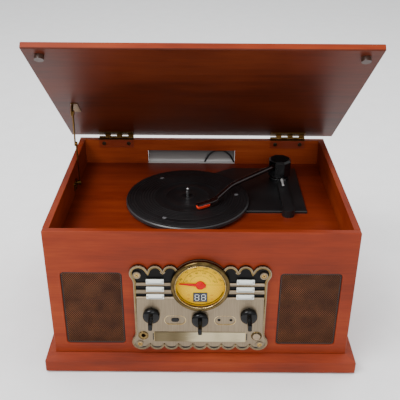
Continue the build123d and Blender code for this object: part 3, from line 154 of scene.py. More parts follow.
def drawn_in(loop, amount):
    """A closed loop moved to its left by this amount: each corner goes along the sum of its two
    sides' left-hand normals, divided by one plus their product."""
    side = np.roll(loop, -1, 0) - loop
    side /= np.linalg.norm(side, axis=1, keepdims=True)
    left = np.stack([-side[:, 1], side[:, 0]], 1)
    before = np.roll(left, 1, 0)
    share = 1 + np.sum(left * before, 1, keepdims=True)
    return loop + amount * (left + before) / np.maximum(share, 0.35)


def drawn_rings(loop, section):
    """One ring for each step of (inset, height): the loop drawn in by the inset, at the height."""
    return np.concatenate([
        np.column_stack([drawn_in(loop, inset), np.full(len(loop), height)]) for inset, height in section
    ])


def cap(loops, height, upward):
    """Triangles that fill the flat area between an outer loop and its holes."""
    flat = np.concatenate(loops)
    triangles = tessellate_polygon([[Vector((u, v, 0)) for u, v in loop] for loop in loops])
    faces = []
    for a, b, c in triangles:
        area = np.cross(flat[b] - flat[a], flat[c] - flat[a])
        faces.append([a, b, c] if (area > 0) == upward else [a, c, b])
    return np.column_stack([flat, np.full(len(flat), height)]), faces


def plate(place, outline, edge, holes=()):
    """A slab between its outline and holes. Its edge is a list of (inset, height) from back to front:
    at each step every loop is drawn in by the inset and lifted to the height, and flat caps close
    both ends. The outline runs anticlockwise and the holes clockwise."""
    loops = [np.asarray(loop, float) for loop in (outline, *holes)]
    shapes = []
    for loop in loops:
        shapes.append((drawn_rings(loop, edge), grid_faces(len(edge), len(loop), round_columns=True)))
    for (inset, height), upward in ((edge[0], False), (edge[-1], True)):
        shapes.append(cap([drawn_in(loop, inset) for loop in loops], height, upward))
    points, faces = joined(*shapes)
    return place.put(points), faces


def bead(place, loop, section):
    """A raised line round a closed loop: its section's steps of (inset, height) go up, over and down."""
    loop = np.asarray(loop, float)
    return place.put(drawn_rings(loop, section)), grid_faces(len(section), len(loop), True, True)


def turned(place, profile, steps=72, closed=False):
    """A profile of (radius, height) turned about the place's out direction. A closed profile is a
    ring; an open one is capped flat at both ends."""
    profile = np.asarray(profile, float)
    angle = np.linspace(0, 2 * pi, steps, endpoint=False)
    radius, height = profile[:, :1], profile[:, 1:]
    points = np.stack(
        [radius * np.cos(angle), radius * np.sin(angle), height + 0 * angle], -1
    ).reshape(-1, 3)
    faces = grid_faces(len(profile), steps, closed, True)
    if not closed:
        faces += end_faces(len(profile), steps)
    return place.put(points), faces


def lofted(place, sections):
    """Loops of equal count at rising heights, joined side by side and capped at both ends."""
    count = len(sections[0][0])
    rings = [np.column_stack([loop, np.full(count, height)]) for loop, height in sections]
    faces = grid_faces(len(sections), count, round_columns=True) + end_faces(len(sections), count)
    return place.put(np.concatenate(rings)), faces


def tube(path, across, upright, steps=24):
    """A rounded section carried along a path: at each point an ellipse stands square to the way on,
    with its half width across and its half height upright, and both ends are capped."""
    path = np.asarray(path, float)
    way = np.gradient(path, axis=0)
    way /= np.linalg.norm(way, axis=1, keepdims=True)
    side = np.cross(way, Z)
    side /= np.linalg.norm(side, axis=1, keepdims=True)
    rise = np.cross(side, way)
    angle = np.linspace(0, 2 * pi, steps, endpoint=False)
    across = np.broadcast_to(across, len(path))[:, None, None]
    upright = np.broadcast_to(upright, len(path))[:, None, None]
    points = (
        path[:, None]
        + across * np.cos(angle)[None, :, None] * side[:, None]
        + upright * np.sin(angle)[None, :, None] * rise[:, None]
    ).reshape(-1, 3)
    faces = grid_faces(len(path), steps, round_columns=True) + end_faces(len(path), steps)
    return points, [one[::-1] for one in faces]


def arc(centre, radius, start, end, steps):
    """Points on a circle from one angle to another, in degrees."""
    angle = np.radians(np.linspace(start, end, steps))
    return np.column_stack([centre[0] + radius * np.cos(angle), centre[1] + radius * np.sin(angle)])


def rounded_rectangle(centre, width, height, radius, steps=6, clockwise=False):
    """Four quarter circles, one in each corner, joined by straight sides."""
    across, up = width / 2 - radius, height / 2 - radius
    corners = ((across, up, 0), (-across, up, 90), (-across, -up, 180), (across, -up, 270))
    loop = np.concatenate([
        arc((centre[0] + u, centre[1] + v), radius, turn, turn + 90, steps) for u, v, turn in corners
    ])
    return loop[::-1] if clockwise else loop


def bar_outline(middle, turn, half_length, half_width):
    """A bar's four corners about its middle, with its length turned by an angle in degrees."""
    along = np.array([cos(radians(turn)), sin(radians(turn))])
    over = np.array([-along[1], along[0]])
    corners = ((-1, -1), (1, -1), (1, 1), (-1, 1))
    return [np.array(middle) + a * half_length * along + b * half_width * over for a, b in corners]


def round_edge(back, front, radius, steps=5):
    """Edge steps of a slab whose front and back edges are quarter rounds."""
    turn = np.linspace(0, pi / 2, steps)
    inset = radius * (1 - np.sin(turn))
    rise = radius * (1 - np.cos(turn))
    return [*zip(inset, back + rise), *zip(inset[::-1], front - rise[::-1])]


def front_edge(back, front, radius, steps=5):
    """Edge steps of a slab with only its front edge rounded."""
    return [(0.0, back), *round_edge(back, front, radius, steps)[steps:]]


# Finishes

def tone(red, green, blue):
    """A colour as seen on a screen, from 0 to 255, turned into light."""
    seen = np.array([red, green, blue]) / 255
    light = np.where(seen <= 0.04045, seen / 12.92, ((seen + 0.055) / 1.055) ** 2.4)
    return (*light.tolist(), 1.0)


class Finish:
    """A material with its shader and the few nodes that the finishes below share."""

    def __init__(self, name, **sockets):
        self.material = bpy.data.materials.new(name)
        self.material.use_nodes = True
        self.nodes = self.material.node_tree.nodes
        self.links = self.material.node_tree.links
        self.shader = self.nodes["Principled BSDF"]
        for socket, value in sockets.items():
            self.shader.inputs[socket.replace("_", " ")].default_value = value
        self.place = self.nodes.new("ShaderNodeTexCoord").outputs["Object"]

    def add(self, kind, **settings):
        node = self.nodes.new("ShaderNode" + kind)
        for name, value in settings.items():
            setattr(node, name, value)
        return node

    def noise(self, scale, stretch=(1, 1, 1), detail=4.0, distortion=0.0):
        """Cloudy noise, finer along the axes with a larger stretch."""
        mapping = self.add("Mapping")
        mapping.inputs["Scale"].default_value = stretch
        self.links.new(self.place, mapping.inputs["Vector"])
        noise = self.add("TexNoise")
        noise.inputs["Scale"].default_value = scale
        noise.inputs["Detail"].default_value = detail
        noise.inputs["Distortion"].default_value = distortion
        self.links.new(mapping.outputs["Vector"], noise.inputs["Vector"])
        return noise.outputs["Fac"]

    def ramp(self, value, *stops):
        """Colours at places between 0 and 1."""
        ramp = self.add("ValToRGB")
        while len(ramp.color_ramp.elements) < len(stops):
            ramp.color_ramp.elements.new(0.5)
        for element, (place, colour) in zip(ramp.color_ramp.elements, stops):
            element.position = place
            element.color = colour
        self.links.new(value, ramp.inputs["Fac"])
        return ramp.outputs["Color"]

    def sum_of(self, first, second, share):
        """The first value plus a share of the second's distance from a half."""
        scaled = self.add("Math", operation="MULTIPLY_ADD")
        self.links.new(second, scaled.inputs[0])
        scaled.inputs[1].default_value = share
        scaled.inputs[2].default_value = -share / 2
        total = self.add("Math", operation="ADD", use_clamp=True)
        self.links.new(first, total.inputs[0])
        self.links.new(scaled.outputs[0], total.inputs[1])
        return total.outputs[0]

    def reckon(self, operation, first, second=None, third=None):
        """One Math node; each value is an output or a plain number."""
        node = self.add("Math", operation=operation)
        for socket, value in zip(node.inputs, (first, second, third)):
            if isinstance(value, (int, float)):
                socket.default_value = value
            elif value is not None:
                self.links.new(value, socket)
        return node.outputs[0]

    def mixed(self, share, first, second):
        """The first colour where the share is 0, the second where it is 1."""
        mix = self.add("Mix", data_type="RGBA")
        for socket, value in ((mix.inputs[0], share), (mix.inputs[6], first), (mix.inputs[7], second)):
            if isinstance(value, tuple):
                socket.default_value = value
            else:
                self.links.new(value, socket)
        return mix.outputs[2]

    def axis(self, name):
        split = self.add("SeparateXYZ")
        self.links.new(self.place, split.inputs[0])
        return split.outputs[name]

    def colour(self, output):
        self.links.new(output, self.shader.inputs["Base Color"])

    def roughness(self, value, low, high):
        spread = self.add("MapRange")
        spread.inputs["To Min"].default_value = low
        spread.inputs["To Max"].default_value = high
        self.links.new(value, spread.inputs["Value"])
        self.links.new(spread.outputs["Result"], self.shader.inputs["Roughness"])

    def bump(self, value, strength, depth):
        """Relief from a value, in metres of depth."""
        node = self.add("Bump")
        node.inputs["Strength"].default_value = strength
        node.inputs["Distance"].default_value = depth
        self.links.new(value, node.inputs["Height"])
        self.links.new(node.outputs["Normal"], self.shader.inputs["Normal"])


# Where a wood's dark, middle and light tones lie on its figure, and the stretch of grain that runs along X
WOOD_STOPS = (0.26, 0.5, 0.76)
GRAIN_ALONG_X = (1, 14, 14)


def wood(name, tones, grain=GRAIN_ALONG_X, gloss=(0.4, 0.54), coat=0.0):
    """Veneer: cloudy reddish patches, long faint streaks along the grain and fine pores."""
    finish = Finish(name, Coat_Weight=coat, Coat_Roughness=0.3, Specular_IOR_Level=0.2)
    figure, clouds, pores = wood_figure(finish, grain)
    finish.colour(finish.ramp(figure, *zip(WOOD_STOPS, tones)))
    finish.roughness(clouds, *gloss)
    finish.bump(pores, 0.1, 0.0003)
    return finish.material


def wood_figure(finish, grain):
    """The clouds, with a share of the streaks and of the pores added."""
    clouds = finish.noise(5.0, (1, 2.2, 2.2), 3.0)
    streaks = finish.noise(6.0, grain, 5.0, 0.3)
    pores = finish.noise(50.0, tuple(0.6 * g for g in grain), 2.0)
    return finish.sum_of(finish.sum_of(clouds, streaks, 0.5), pores, 0.35), clouds, pores


def lid_wood(name, outside, inside, skin=6.2):
    """The veneer of the lid: its inner face, nearer than the skin to the hinge's own plane, has the darker
    inside tones, painted shade for the underside of the open lid, which faces away from the lamps; the
    edges and outer face have the outside ones."""
    finish = Finish(name, Specular_IOR_Level=0.15)
    figure, clouds, pores = wood_figure(finish, GRAIN_ALONG_X)
    depth = finish.add("VectorMath", operation="DOT_PRODUCT")
    finish.links.new(finish.place, depth.inputs[0])
    depth.inputs[1].default_value = (0, sin(lid_lean), cos(lid_lean))
    hinge_depth = (hinge_y * sin(lid_lean) + hinge_z * cos(lid_lean) + skin) * MILLIMETRE
    outer = finish.reckon("GREATER_THAN", depth.outputs["Value"], hinge_depth)
    # The inside tones are painted shade, darker than the veneer's own colour.
    painted_shade_tones = finish.ramp(figure, *zip(WOOD_STOPS, inside))
    outside_tones = finish.ramp(figure, *zip(WOOD_STOPS, outside))
    finish.colour(finish.mixed(outer, painted_shade_tones, outside_tones))
    finish.roughness(clouds, 0.36, 0.5)
    finish.bump(pores, 0.1, 0.0003)
    return finish.material


def moulding(name, dark, light, roughness=(0.3, 0.42), grain=900.0, relief=0.08, metallic=0.0, **sockets):
    """Two close tones in soft clouds, with a fine even texture that breaks up the gloss."""
    finish = Finish(name, Metallic=metallic, **sockets)
    clouds = finish.noise(18.0, detail=4.0)
    texture = finish.noise(grain, detail=2.0)
    finish.colour(finish.ramp(finish.sum_of(clouds, texture, 0.3), (0.3, dark), (0.7, light)))
    finish.roughness(clouds, *roughness)
    finish.bump(texture, relief, 0.0003)
    return finish.material


def brushed(name, dark, light, roughness, stretch=(1, 60, 60), metallic=1.0, relief=0.06, **sockets):
    """Metal with fine lines along one axis and slow changes of tone."""
    finish = Finish(name, Metallic=metallic, **sockets)
    lines = finish.noise(26.0, stretch, 3.0)
    clouds = finish.noise(12.0, detail=3.0)
    finish.colour(finish.ramp(finish.sum_of(lines, clouds, 0.6), (0.3, dark), (0.72, light)))
    finish.roughness(clouds, *roughness)
    finish.bump(lines, relief, 0.0002)
    return finish.material


def leaf_finish(margin=0.05):
    """Aged brass above the rim; the flange below it is stained to match the wall that it lies on."""
    finish = Finish("hinge_leaf")
    lines = finish.noise(26.0, (30, 30, 1), 3.0)
    metal = finish.ramp(lines, (0.3, tone(66, 46, 22)), (0.72, tone(124, 92, 48)))
    stain = finish.ramp(wood_figure(finish, GRAIN_ALONG_X)[0], *zip(WOOD_STOPS, VENEER))
    above = finish.reckon("GREATER_THAN", finish.axis("Z"), (rim_z - margin) * MILLIMETRE)
    finish.colour(finish.mixed(above, stain, metal))
    finish.links.new(above, finish.shader.inputs["Metallic"])
    finish.roughness(lines, 0.36, 0.46)
    return finish.material


VENEER = (tone(100, 32, 9), tone(121, 40, 11), tone(138, 54, 18))
veneer = wood("orange_brown_veneer", VENEER)
back_veneer = wood("back_veneer", (tone(116, 42, 14), tone(142, 56, 20), tone(162, 74, 32)))
side_veneer = wood("side_veneer", VENEER, grain=(14, 1, 14))
# The lid's darker inside tones are painted shade on its underside.
lid_veneer_painted_shade = lid_wood("lid_veneer_painted_shade", VENEER, (tone(56, 20, 9), tone(78, 29, 13), tone(92, 38, 18)))
deck_veneer = wood(
    "deck_veneer", (tone(86, 25, 9), tone(108, 34, 12), tone(126, 46, 18)), gloss=(0.26, 0.38), coat=0.05
)
fibreboard = moulding("fibreboard", tone(120, 88, 58), tone(150, 116, 80), (0.7, 0.85), 500.0, 0.2)
rubber = moulding("foot_rubber", tone(20, 20, 20), tone(34, 33, 32), (0.65, 0.8), 700.0, 0.15)
lead_rubber = moulding("lead_sleeve", tone(16, 16, 17), tone(28, 28, 29), (0.4, 0.55))
black_moulding = moulding("black_moulding", tone(15, 15, 16), tone(27, 27, 28), (0.3, 0.42), 1400.0, 0.1)
housing_black = moulding("housing_black", tone(13, 13, 14), tone(24, 24, 25), (0.22, 0.34), 1200.0, 0.06)
brass = brushed("aged_brass", tone(78, 56, 26), tone(142, 108, 58), (0.28, 0.46), (30, 30, 1))
leaf_brass = leaf_finish()
dark_steel = brushed("dark_screw", tone(44, 38, 30), tone(86, 76, 60), (0.35, 0.5))
chrome = brushed("chrome", tone(150, 150, 151), tone(206, 206, 206), (0.16, 0.26), (1, 1, 40))
platter_metal = moulding("platter_rim", tone(30, 30, 31), tone(46, 46, 48), (0.3, 0.4), 1200.0, 0.05)
mat_rubber = moulding(
    "mat_rubber", tone(14, 13, 14), tone(24, 23, 24), (0.36, 0.5), 1100.0, 0.12, Specular_IOR_Level=0.35
)
steel = brushed("plated_steel", tone(130, 130, 128), tone(170, 170, 166), (0.35, 0.5))
arm_gloss = moulding(
    "arm_gloss", tone(18, 9, 8), tone(30, 13, 11), (0.12, 0.2), 900.0, 0.02, Coat_Weight=0.4
)
cartridge_red = moulding("cartridge_red", tone(226, 44, 18), tone(244, 66, 34), (0.3, 0.4))
dot_grey = moulding("mat_dot_grey", tone(86, 86, 88), tone(104, 104, 106), (0.4, 0.5))
bumper_brown = moulding("bumper_brown", tone(44, 28, 22), tone(60, 38, 28), (0.3, 0.4))
lever_grey = moulding("lever_grey", tone(150, 150, 150), tone(190, 190, 188), (0.35, 0.45))
gold = brushed("old_gold", tone(146, 112, 58), tone(206, 170, 104), (0.22, 0.34), (20, 20, 20))
bezel_gold = brushed("bezel_gold", tone(70, 56, 30), tone(104, 86, 52), (0.1, 0.16), (4, 4, 4))
rim_gold = brushed("rolled_rim_gold", tone(96, 78, 46), tone(140, 118, 78), (0.1, 0.18), (4, 4, 4))
line_gold = brushed("bright_line_gold", tone(206, 180, 124), tone(236, 214, 164), (0.16, 0.24), (8, 8, 8))
needle_red = moulding(
    "needle_red", tone(190, 0, 6), tone(214, 4, 12), (0.25, 0.35), Specular_IOR_Level=0.15
)
mark_black = moulding("dial_ink", tone(30, 24, 8), tone(44, 36, 12), (0.5, 0.6))
mark_red = moulding("dial_red_ink", tone(186, 60, 24), tone(206, 74, 30), (0.5, 0.6))
digit_pale = moulding("digit_pale", tone(206, 208, 204), tone(226, 228, 222), (0.4, 0.5))
board_green = moulding("circuit_board", tone(22, 70, 40), tone(34, 92, 52), (0.4, 0.55))
speaker_black = moulding("speaker_cone", tone(14, 14, 14), tone(28, 28, 28), (0.6, 0.75))
gloss_black = moulding(
    "knob_black", tone(4, 4, 5), tone(8, 8, 9), (0.1, 0.14), 900.0, 0.01, Specular_IOR_Level=0.25
)
plate_metal_lip = brushed(
    "louvre_lip_metal", tone(120, 104, 84), tone(166, 148, 124), (0.28, 0.4), (1, 40, 40)
)
slot_black = moulding("slot_black", tone(7, 7, 7), tone(13, 12, 11), (0.5, 0.65))


def plate_metal_finish():
    """Champagne plate: fine upright brushing and slow tone changes, with black paint on the floor of
    its cut-outs, which lies deeper than the face."""
    finish = Finish("champagne_plate", Metallic=0.75)
    lines = finish.noise(30.0, (70, 1, 1), 3.0)
    clouds = finish.noise(9.0, detail=3.0)
    metal = finish.ramp(
        finish.sum_of(lines, clouds, 0.7), (0.3, tone(122, 108, 88)), (0.7, tone(142, 127, 105))
    )
    painted_depth = (front_y - gap_floor - 0.3) * MILLIMETRE
    painted = finish.reckon("GREATER_THAN", finish.axis("Y"), painted_depth)
    finish.colour(finish.mixed(painted, metal, tone(10, 9, 8)))
    finish.roughness(clouds, 0.3, 0.42)
    finish.bump(lines, 0.05, 0.0002)
    return finish.material


def key_finish(cap_face=4.9):
    """Ivory key caps whose sides, behind their faces, are darkened with painted shade."""
    finish = Finish("button_ivory")
    clouds = finish.noise(18.0)
    face_tone = finish.ramp(clouds, (0.3, tone(214, 216, 208)), (0.7, tone(228, 229, 222)))
    # The dark sides of the caps are painted shade.
    shaded_sides = finish.reckon("GREATER_THAN", finish.axis("Y"), (front_y - cap_face) * MILLIMETRE)
    finish.colour(finish.mixed(shaded_sides, face_tone, tone(40, 38, 34)))
    finish.roughness(clouds, 0.32, 0.42)
    return finish.material


def display_finish(parting=-20):
    """Slate display window; the infrared window, to the left of the parting, is black."""
    finish = Finish("display_window", Specular_IOR_Level=0.25)
    clouds = finish.noise(18.0)
    slate = finish.ramp(clouds, (0.3, tone(48, 54, 64)), (0.7, tone(62, 68, 78)))
    inner = finish.reckon("GREATER_THAN", finish.axis("X"), parting * MILLIMETRE)
    finish.colour(finish.mixed(inner, tone(16, 14, 14), slate))
    finish.roughness(clouds, 0.14, 0.2)
    return finish.material


def drawer_finish():
    """Brushed drawer front: upright bands of light and dark metal, painted reflections of a room such as a
    brushed sheet shows.
    """
    finish = Finish("brushed_drawer_painted_reflections", Metallic=0.9)
    bands = finish.noise(11.0, (1.6, 0.2, 0.2), 1.0)
    lines = finish.noise(60.0, (1, 60, 60), 2.0)
    # The light and dark bands are painted reflections.
    finish.colour(finish.ramp(
        finish.sum_of(bands, lines, 0.2),
        (0.34, tone(92, 80, 56)), (0.5, tone(122, 110, 84)), (0.62, tone(190, 178, 146)),
    ))
    finish.roughness(bands, 0.26, 0.4)
    finish.bump(lines, 0.05, 0.0002)
    return finish.material


def grille_finish(across=1.47, up=1.7):
    """Woven grille: the product of two sines, one across and one up, puts staggered copper knots
    between black threads; the knots stand out and vary in tone."""
    finish = Finish("grille_weave", Roughness=0.62, Specular_IOR_Level=0.1)
    waves = []
    for axis, half_wave in (("X", across), ("Z", up)):
        angle = finish.reckon("MULTIPLY", finish.axis(axis), pi / (half_wave * MILLIMETRE))
        waves.append(finish.reckon("SINE", angle))
    knots = finish.reckon("MULTIPLY", *waves)
    patches = finish.noise(45.0, detail=3.0)
    copper = finish.ramp(patches, (0.3, tone(96, 52, 26)), (0.7, tone(140, 84, 48)))
    shown = finish.ramp(knots, (0.12, (0, 0, 0, 1)), (0.62, (1, 1, 1, 1)))
    finish.colour(finish.mixed(shown, tone(15, 12, 10), copper))
    finish.bump(knots, 0.5, 0.0006)
    return finish.material


def dial_finish():
    """Yellow dial card with a slightly deeper tone towards its edge."""
    finish = Finish("dial_card", Roughness=0.5, Specular_IOR_Level=0.1)
    across = finish.reckon("SUBTRACT", finish.axis("X"), panel_x * MILLIMETRE)
    up = finish.reckon("SUBTRACT", finish.axis("Z"), (plinth_top + dial_v) * MILLIMETRE)
    squares = [finish.reckon("MULTIPLY", way, way) for way in (across, up)]
    distance = finish.reckon("SQRT", finish.reckon("ADD", *squares))
    out = finish.reckon("DIVIDE", distance, bezel_radius * MILLIMETRE)
    card = finish.sum_of(out, finish.noise(40.0), 0.1)
    finish.colour(finish.ramp(card, (0.3, tone(246, 198, 0)), (0.9, tone(224, 166, 0))))
    return finish.material


def cover_finish(height=33.0):
    """Grey sheet, darker towards its top with painted shade and pale at its foot with a painted highlight
    along the fold.
    """
    finish = Finish("grey_sheet", Metallic=0.35)
    lines = finish.noise(26.0, (1, 60, 60), 3.0)
    up = finish.reckon("SUBTRACT", finish.axis("Z"), deck_z * MILLIMETRE)
    rise = finish.sum_of(finish.reckon("DIVIDE", up, height * MILLIMETRE), lines, 0.15)
    # Painted shade darkens the sheet towards its top, and a painted highlight lies along the fold at its
    # foot.
    finish.colour(finish.ramp(
        rise, (0.02, tone(214, 212, 210)), (0.16, tone(150, 147, 145)), (0.75, tone(96, 93, 92))
    ))
    finish.roughness(lines, 0.38, 0.5)
    return finish.material


def clear_finish():
    """A thin clear lens: mostly see-through, with a gloss that scuffs soften here and there."""
    finish = Finish("clear_lens", Alpha=0.04, Specular_IOR_Level=0.1)
    finish.colour(finish.ramp(finish.noise(60.0), (0.3, tone(30, 28, 20)), (0.7, tone(44, 42, 34))))
    finish.roughness(finish.noise(60.0), 0.04, 0.1)
    return finish.material


plate_metal = plate_metal_finish()
drawer_metal_painted_reflections = drawer_finish()
grille_weave = grille_finish()
dial_card = dial_finish()
clear_lens = clear_finish()
grey_sheet = cover_finish()
ivory = key_finish()
display_blue = display_finish()

# The finish of each CAD node that shows as it is
NODE_FINISHES = {
    "plinth": veneer, "back_panel": back_veneer, "lid_board": lid_veneer_painted_shade, "deck_board": deck_veneer,
    "bottom_panel": fibreboard, "rubber_feet": rubber, "lid_bumpers": bumper_brown,
    "slot_cover": grey_sheet, "pickup_lead": lead_rubber, "rear_sockets": black_moulding,
    "chassis_plate": black_moulding, "tonearm_base": housing_black, "arm_housing": housing_black,
    "panel_backing": slot_black, "cd_mechanism": black_moulding, "hinge_upper_leaves": brass,
    "hinge_lower_leaves": leaf_brass, "hinge_pins": brass, "stay_upper_link": brass,
    "stay_lower_link": brass, "stay_lid_bracket": brass, "stay_wall_bracket": brass,
    "motor_pulley": brass, "hinge_screws": dark_steel, "spindle": chrome,
    "platter": platter_metal, "platter_mat": mat_rubber, "drive_belt": lead_rubber, "motor": steel,
    "control_bodies": steel, "transformer": steel, "tonearm": arm_gloss,
    "cartridge": cartridge_red, "cue_lever": lever_grey, "faceplate": plate_metal,
    "cd_drawer": drawer_metal_painted_reflections, "faceplate_screws": gold, "dial_bezel": bezel_gold,
    "headphone_jack": rim_gold, "power_button": plate_metal_lip, "dial_lens": clear_lens,
    "dial_face": dial_card, "dial_needle": needle_red, "display_windows": display_blue,
    "circuit_board": board_green,
    "speaker_grilles": grille_weave, "left_speaker": speaker_black, "right_speaker": speaker_black,
    "front_panel": veneer, "left_side": side_veneer, "right_side": side_veneer,
}
for name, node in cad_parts.items():
    node.data.materials.clear()
    node.data.materials.append(NODE_FINISHES.get(name, gloss_black if "knob" in name else ivory))


def piece(name, shape, finish, body, nodes=(), crease=38):
    """A finished piece from a shape in millimetres. It rides on its body, takes the finish that it is
    given, and stands for the nodes that it replaces."""
    points, faces = shape
    mesh = bpy.data.meshes.new(name)
    mesh.from_pydata((points * MILLIMETRE).tolist(), [], faces)
    mesh.update()
    mesh.shade_smooth()
    mesh.set_sharp_from_angle(angle=radians(crease))
    mesh.materials.append(finish)
    made = bpy.data.objects.new(name, mesh)
    bpy.context.scene.collection.objects.link(made)
    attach(made, body)
    if nodes:
        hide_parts(*nodes)
    return made


# Cabinet boards with softened edges
def make_boards(softness=1.3):
    width = panel_high[0] - panel_low[0]
    height = rim_z - plinth_top
    window = (87.6, 128.5, 5.5)
    windows = [
        rounded_rectangle((side * grille_u, grille_v), *window, steps=8, clockwise=True) for side in (-1, 1)
    ]
    works = rounded_rectangle((panel_x, 86.75), 174.0, 124.5, 1.5, clockwise=True)
    outline = rounded_rectangle((0, height / 2), width, height, softness + 0.6)
    thickness = inner_front - front_y
    board = plate(panel_front, outline, round_edge(-thickness, 0, softness), [*windows, works])
    piece("front_board", board, veneer, "root", ["front_panel"])
    for name, finished in (("left_side", "left_board"), ("right_side", "right_board")):
        low, high = box_mm(name)
        middle, size = (low + high) / 2, high - low
        side = Place((0, 0, plinth_top), X, Y, Z)
        outline = rounded_rectangle((middle[0], middle[1]), size[0], size[1], 0.4, 3)
        piece(
            finished, plate(side, outline, round_edge(0, size[2], 0.35, 4)),
            side_veneer, "root", [name],
        )


# Front plate details
def plate_outline(steps=9):
    """The plate's edge, drawn anticlockwise: the right half's arcs through the same points as the CAD
    outline, an arc hidden under the bezel, then the left half mirrored. Each lobe is an arc over its
    cusp line, and a hollow flare joins each corner to the side."""
    cusp = 3.5 * lobe_pitch

    def corner(radius, rise, level, way):
        """A corner's centre, and where its hollow flare meets the corner and the side."""
        centre = np.array([cusp + sqrt(2 * radius * rise - rise**2), level - way * radius])
        over = plate_side + side_flare - centre[0]
        reach = radius + side_flare
        drop = sqrt(reach**2 - over**2)
        meet = centre + np.array([over, -way * drop]) * radius / reach
        flare = np.array([plate_side + side_flare, centre[1] - way * drop])
        return centre, meet, flare

    def swing(centre, start, end, clockwise=False):
        """The arc about a centre from one point to another."""
        first, last = (np.degrees(np.arctan2(*(point - centre)[::-1])) for point in (start, end))
        if clockwise and last > first:
            last -= 360
        if not clockwise and last < first:
            last += 360
        return arc(centre, np.linalg.norm(start - centre), first, last, steps)

    def lobe(start, end, height, crest):
        """A round lobe between two cusps at one height, bulging to its crest."""
        half, rise = abs(end - start) / 2, abs(crest - height)
        radius = (half**2 + rise**2) / (2 * rise)
        way = 1 if crest > height else -1
        centre = np.array([(start + end) / 2, crest - way * radius])
        return swing(centre, np.array([start, height]), np.array([end, height]))

    top_centre, top_meet, top_flare = corner(top_corner, top_edge - top_cusp, top_edge, 1)
    low_centre, low_meet, low_flare = corner(bottom_corner, bottom_cusp - bottom_edge, bottom_edge, -1)
    right = [lobe(n * lobe_pitch, (n + 1) * lobe_pitch, bottom_cusp, bottom_edge) for n in (0.5, 1.5, 2.5)]
    right.append(swing(low_centre, np.array([cusp, bottom_cusp]), low_meet))
    right.append(swing(low_flare, low_meet, np.array([plate_side, low_flare[1]]), clockwise=True))
    right.append(swing(top_flare, np.array([plate_side, top_flare[1]]), top_meet, clockwise=True))
    right.append(swing(top_centre, top_meet, np.array([cusp, top_cusp])))
    right += [lobe(cusp - n * lobe_pitch, cusp - (n + 1) * lobe_pitch, top_cusp, top_edge) for n in (0, 1)]
    right = np.concatenate(right)
    left = right[::-1] * (-1, 1)
    middle = lobe(-lobe_pitch / 2, lobe_pitch / 2, bottom_cusp, bottom_edge)
    under_bezel = arc((0, dial_v), bezel_radius - 1, 33, 147, 25)
    loop = np.concatenate([middle, right, under_bezel, left])
    gaps = np.linalg.norm(np.roll(loop, -1, 0) - loop, axis=1)
    return loop[gaps > 0.02]


def round_bead(inset, width, base, height, steps=9):
    """Section steps of a half-round bead, with its foot inside what carries it."""
    turn = np.linspace(0, pi, steps)
    across = inset + width / 2 * (1 - np.cos(turn))
    up = base + height * np.sin(turn)
    return [(inset, base - 0.8), *zip(across, up), (inset + width, base - 0.8)]


def rolled_rim(outline, foot_share=0.5):
    """A half-round bead round the plate; its width falls smoothly to a share of itself at the foot."""
    rise = np.clip((outline[:, 1] - 20) / 110, 0, 1)
    share = (foot_share + (1 - foot_share) * rise**2 * (3 - 2 * rise))[:, None]
    section = round_bead(-0.2, 4.4, 3.3, 1.9, 11)
    loops = [outline + (drawn_in(outline, inset) - outline) * share for inset, _ in section]
    rings = [
        np.column_stack([loop, np.full(len(loop), height)]) for loop, (_, height) in zip(loops, section)
    ]
    return face.put(np.concatenate(rings)), grid_faces(len(section), len(outline), True, True)


def lobe_shadow(u, v, radius, spread):
    """A thin dark moon of painted shadow inside a lower lobe, where the rolled rim shades the plate: an arc
    of the lobe's own circle under a flatter arc.
    """
    low = arc((u, v), radius, 270 - spread, 270 + spread, 15)
    high = low[::-1].copy()
    high[:, 1] += 2.6 * np.sin(np.linspace(0, pi, 15))
    return plate(face, np.vstack([low, high[1:-1]]), [(0, 3.3), (0, 3.66)])


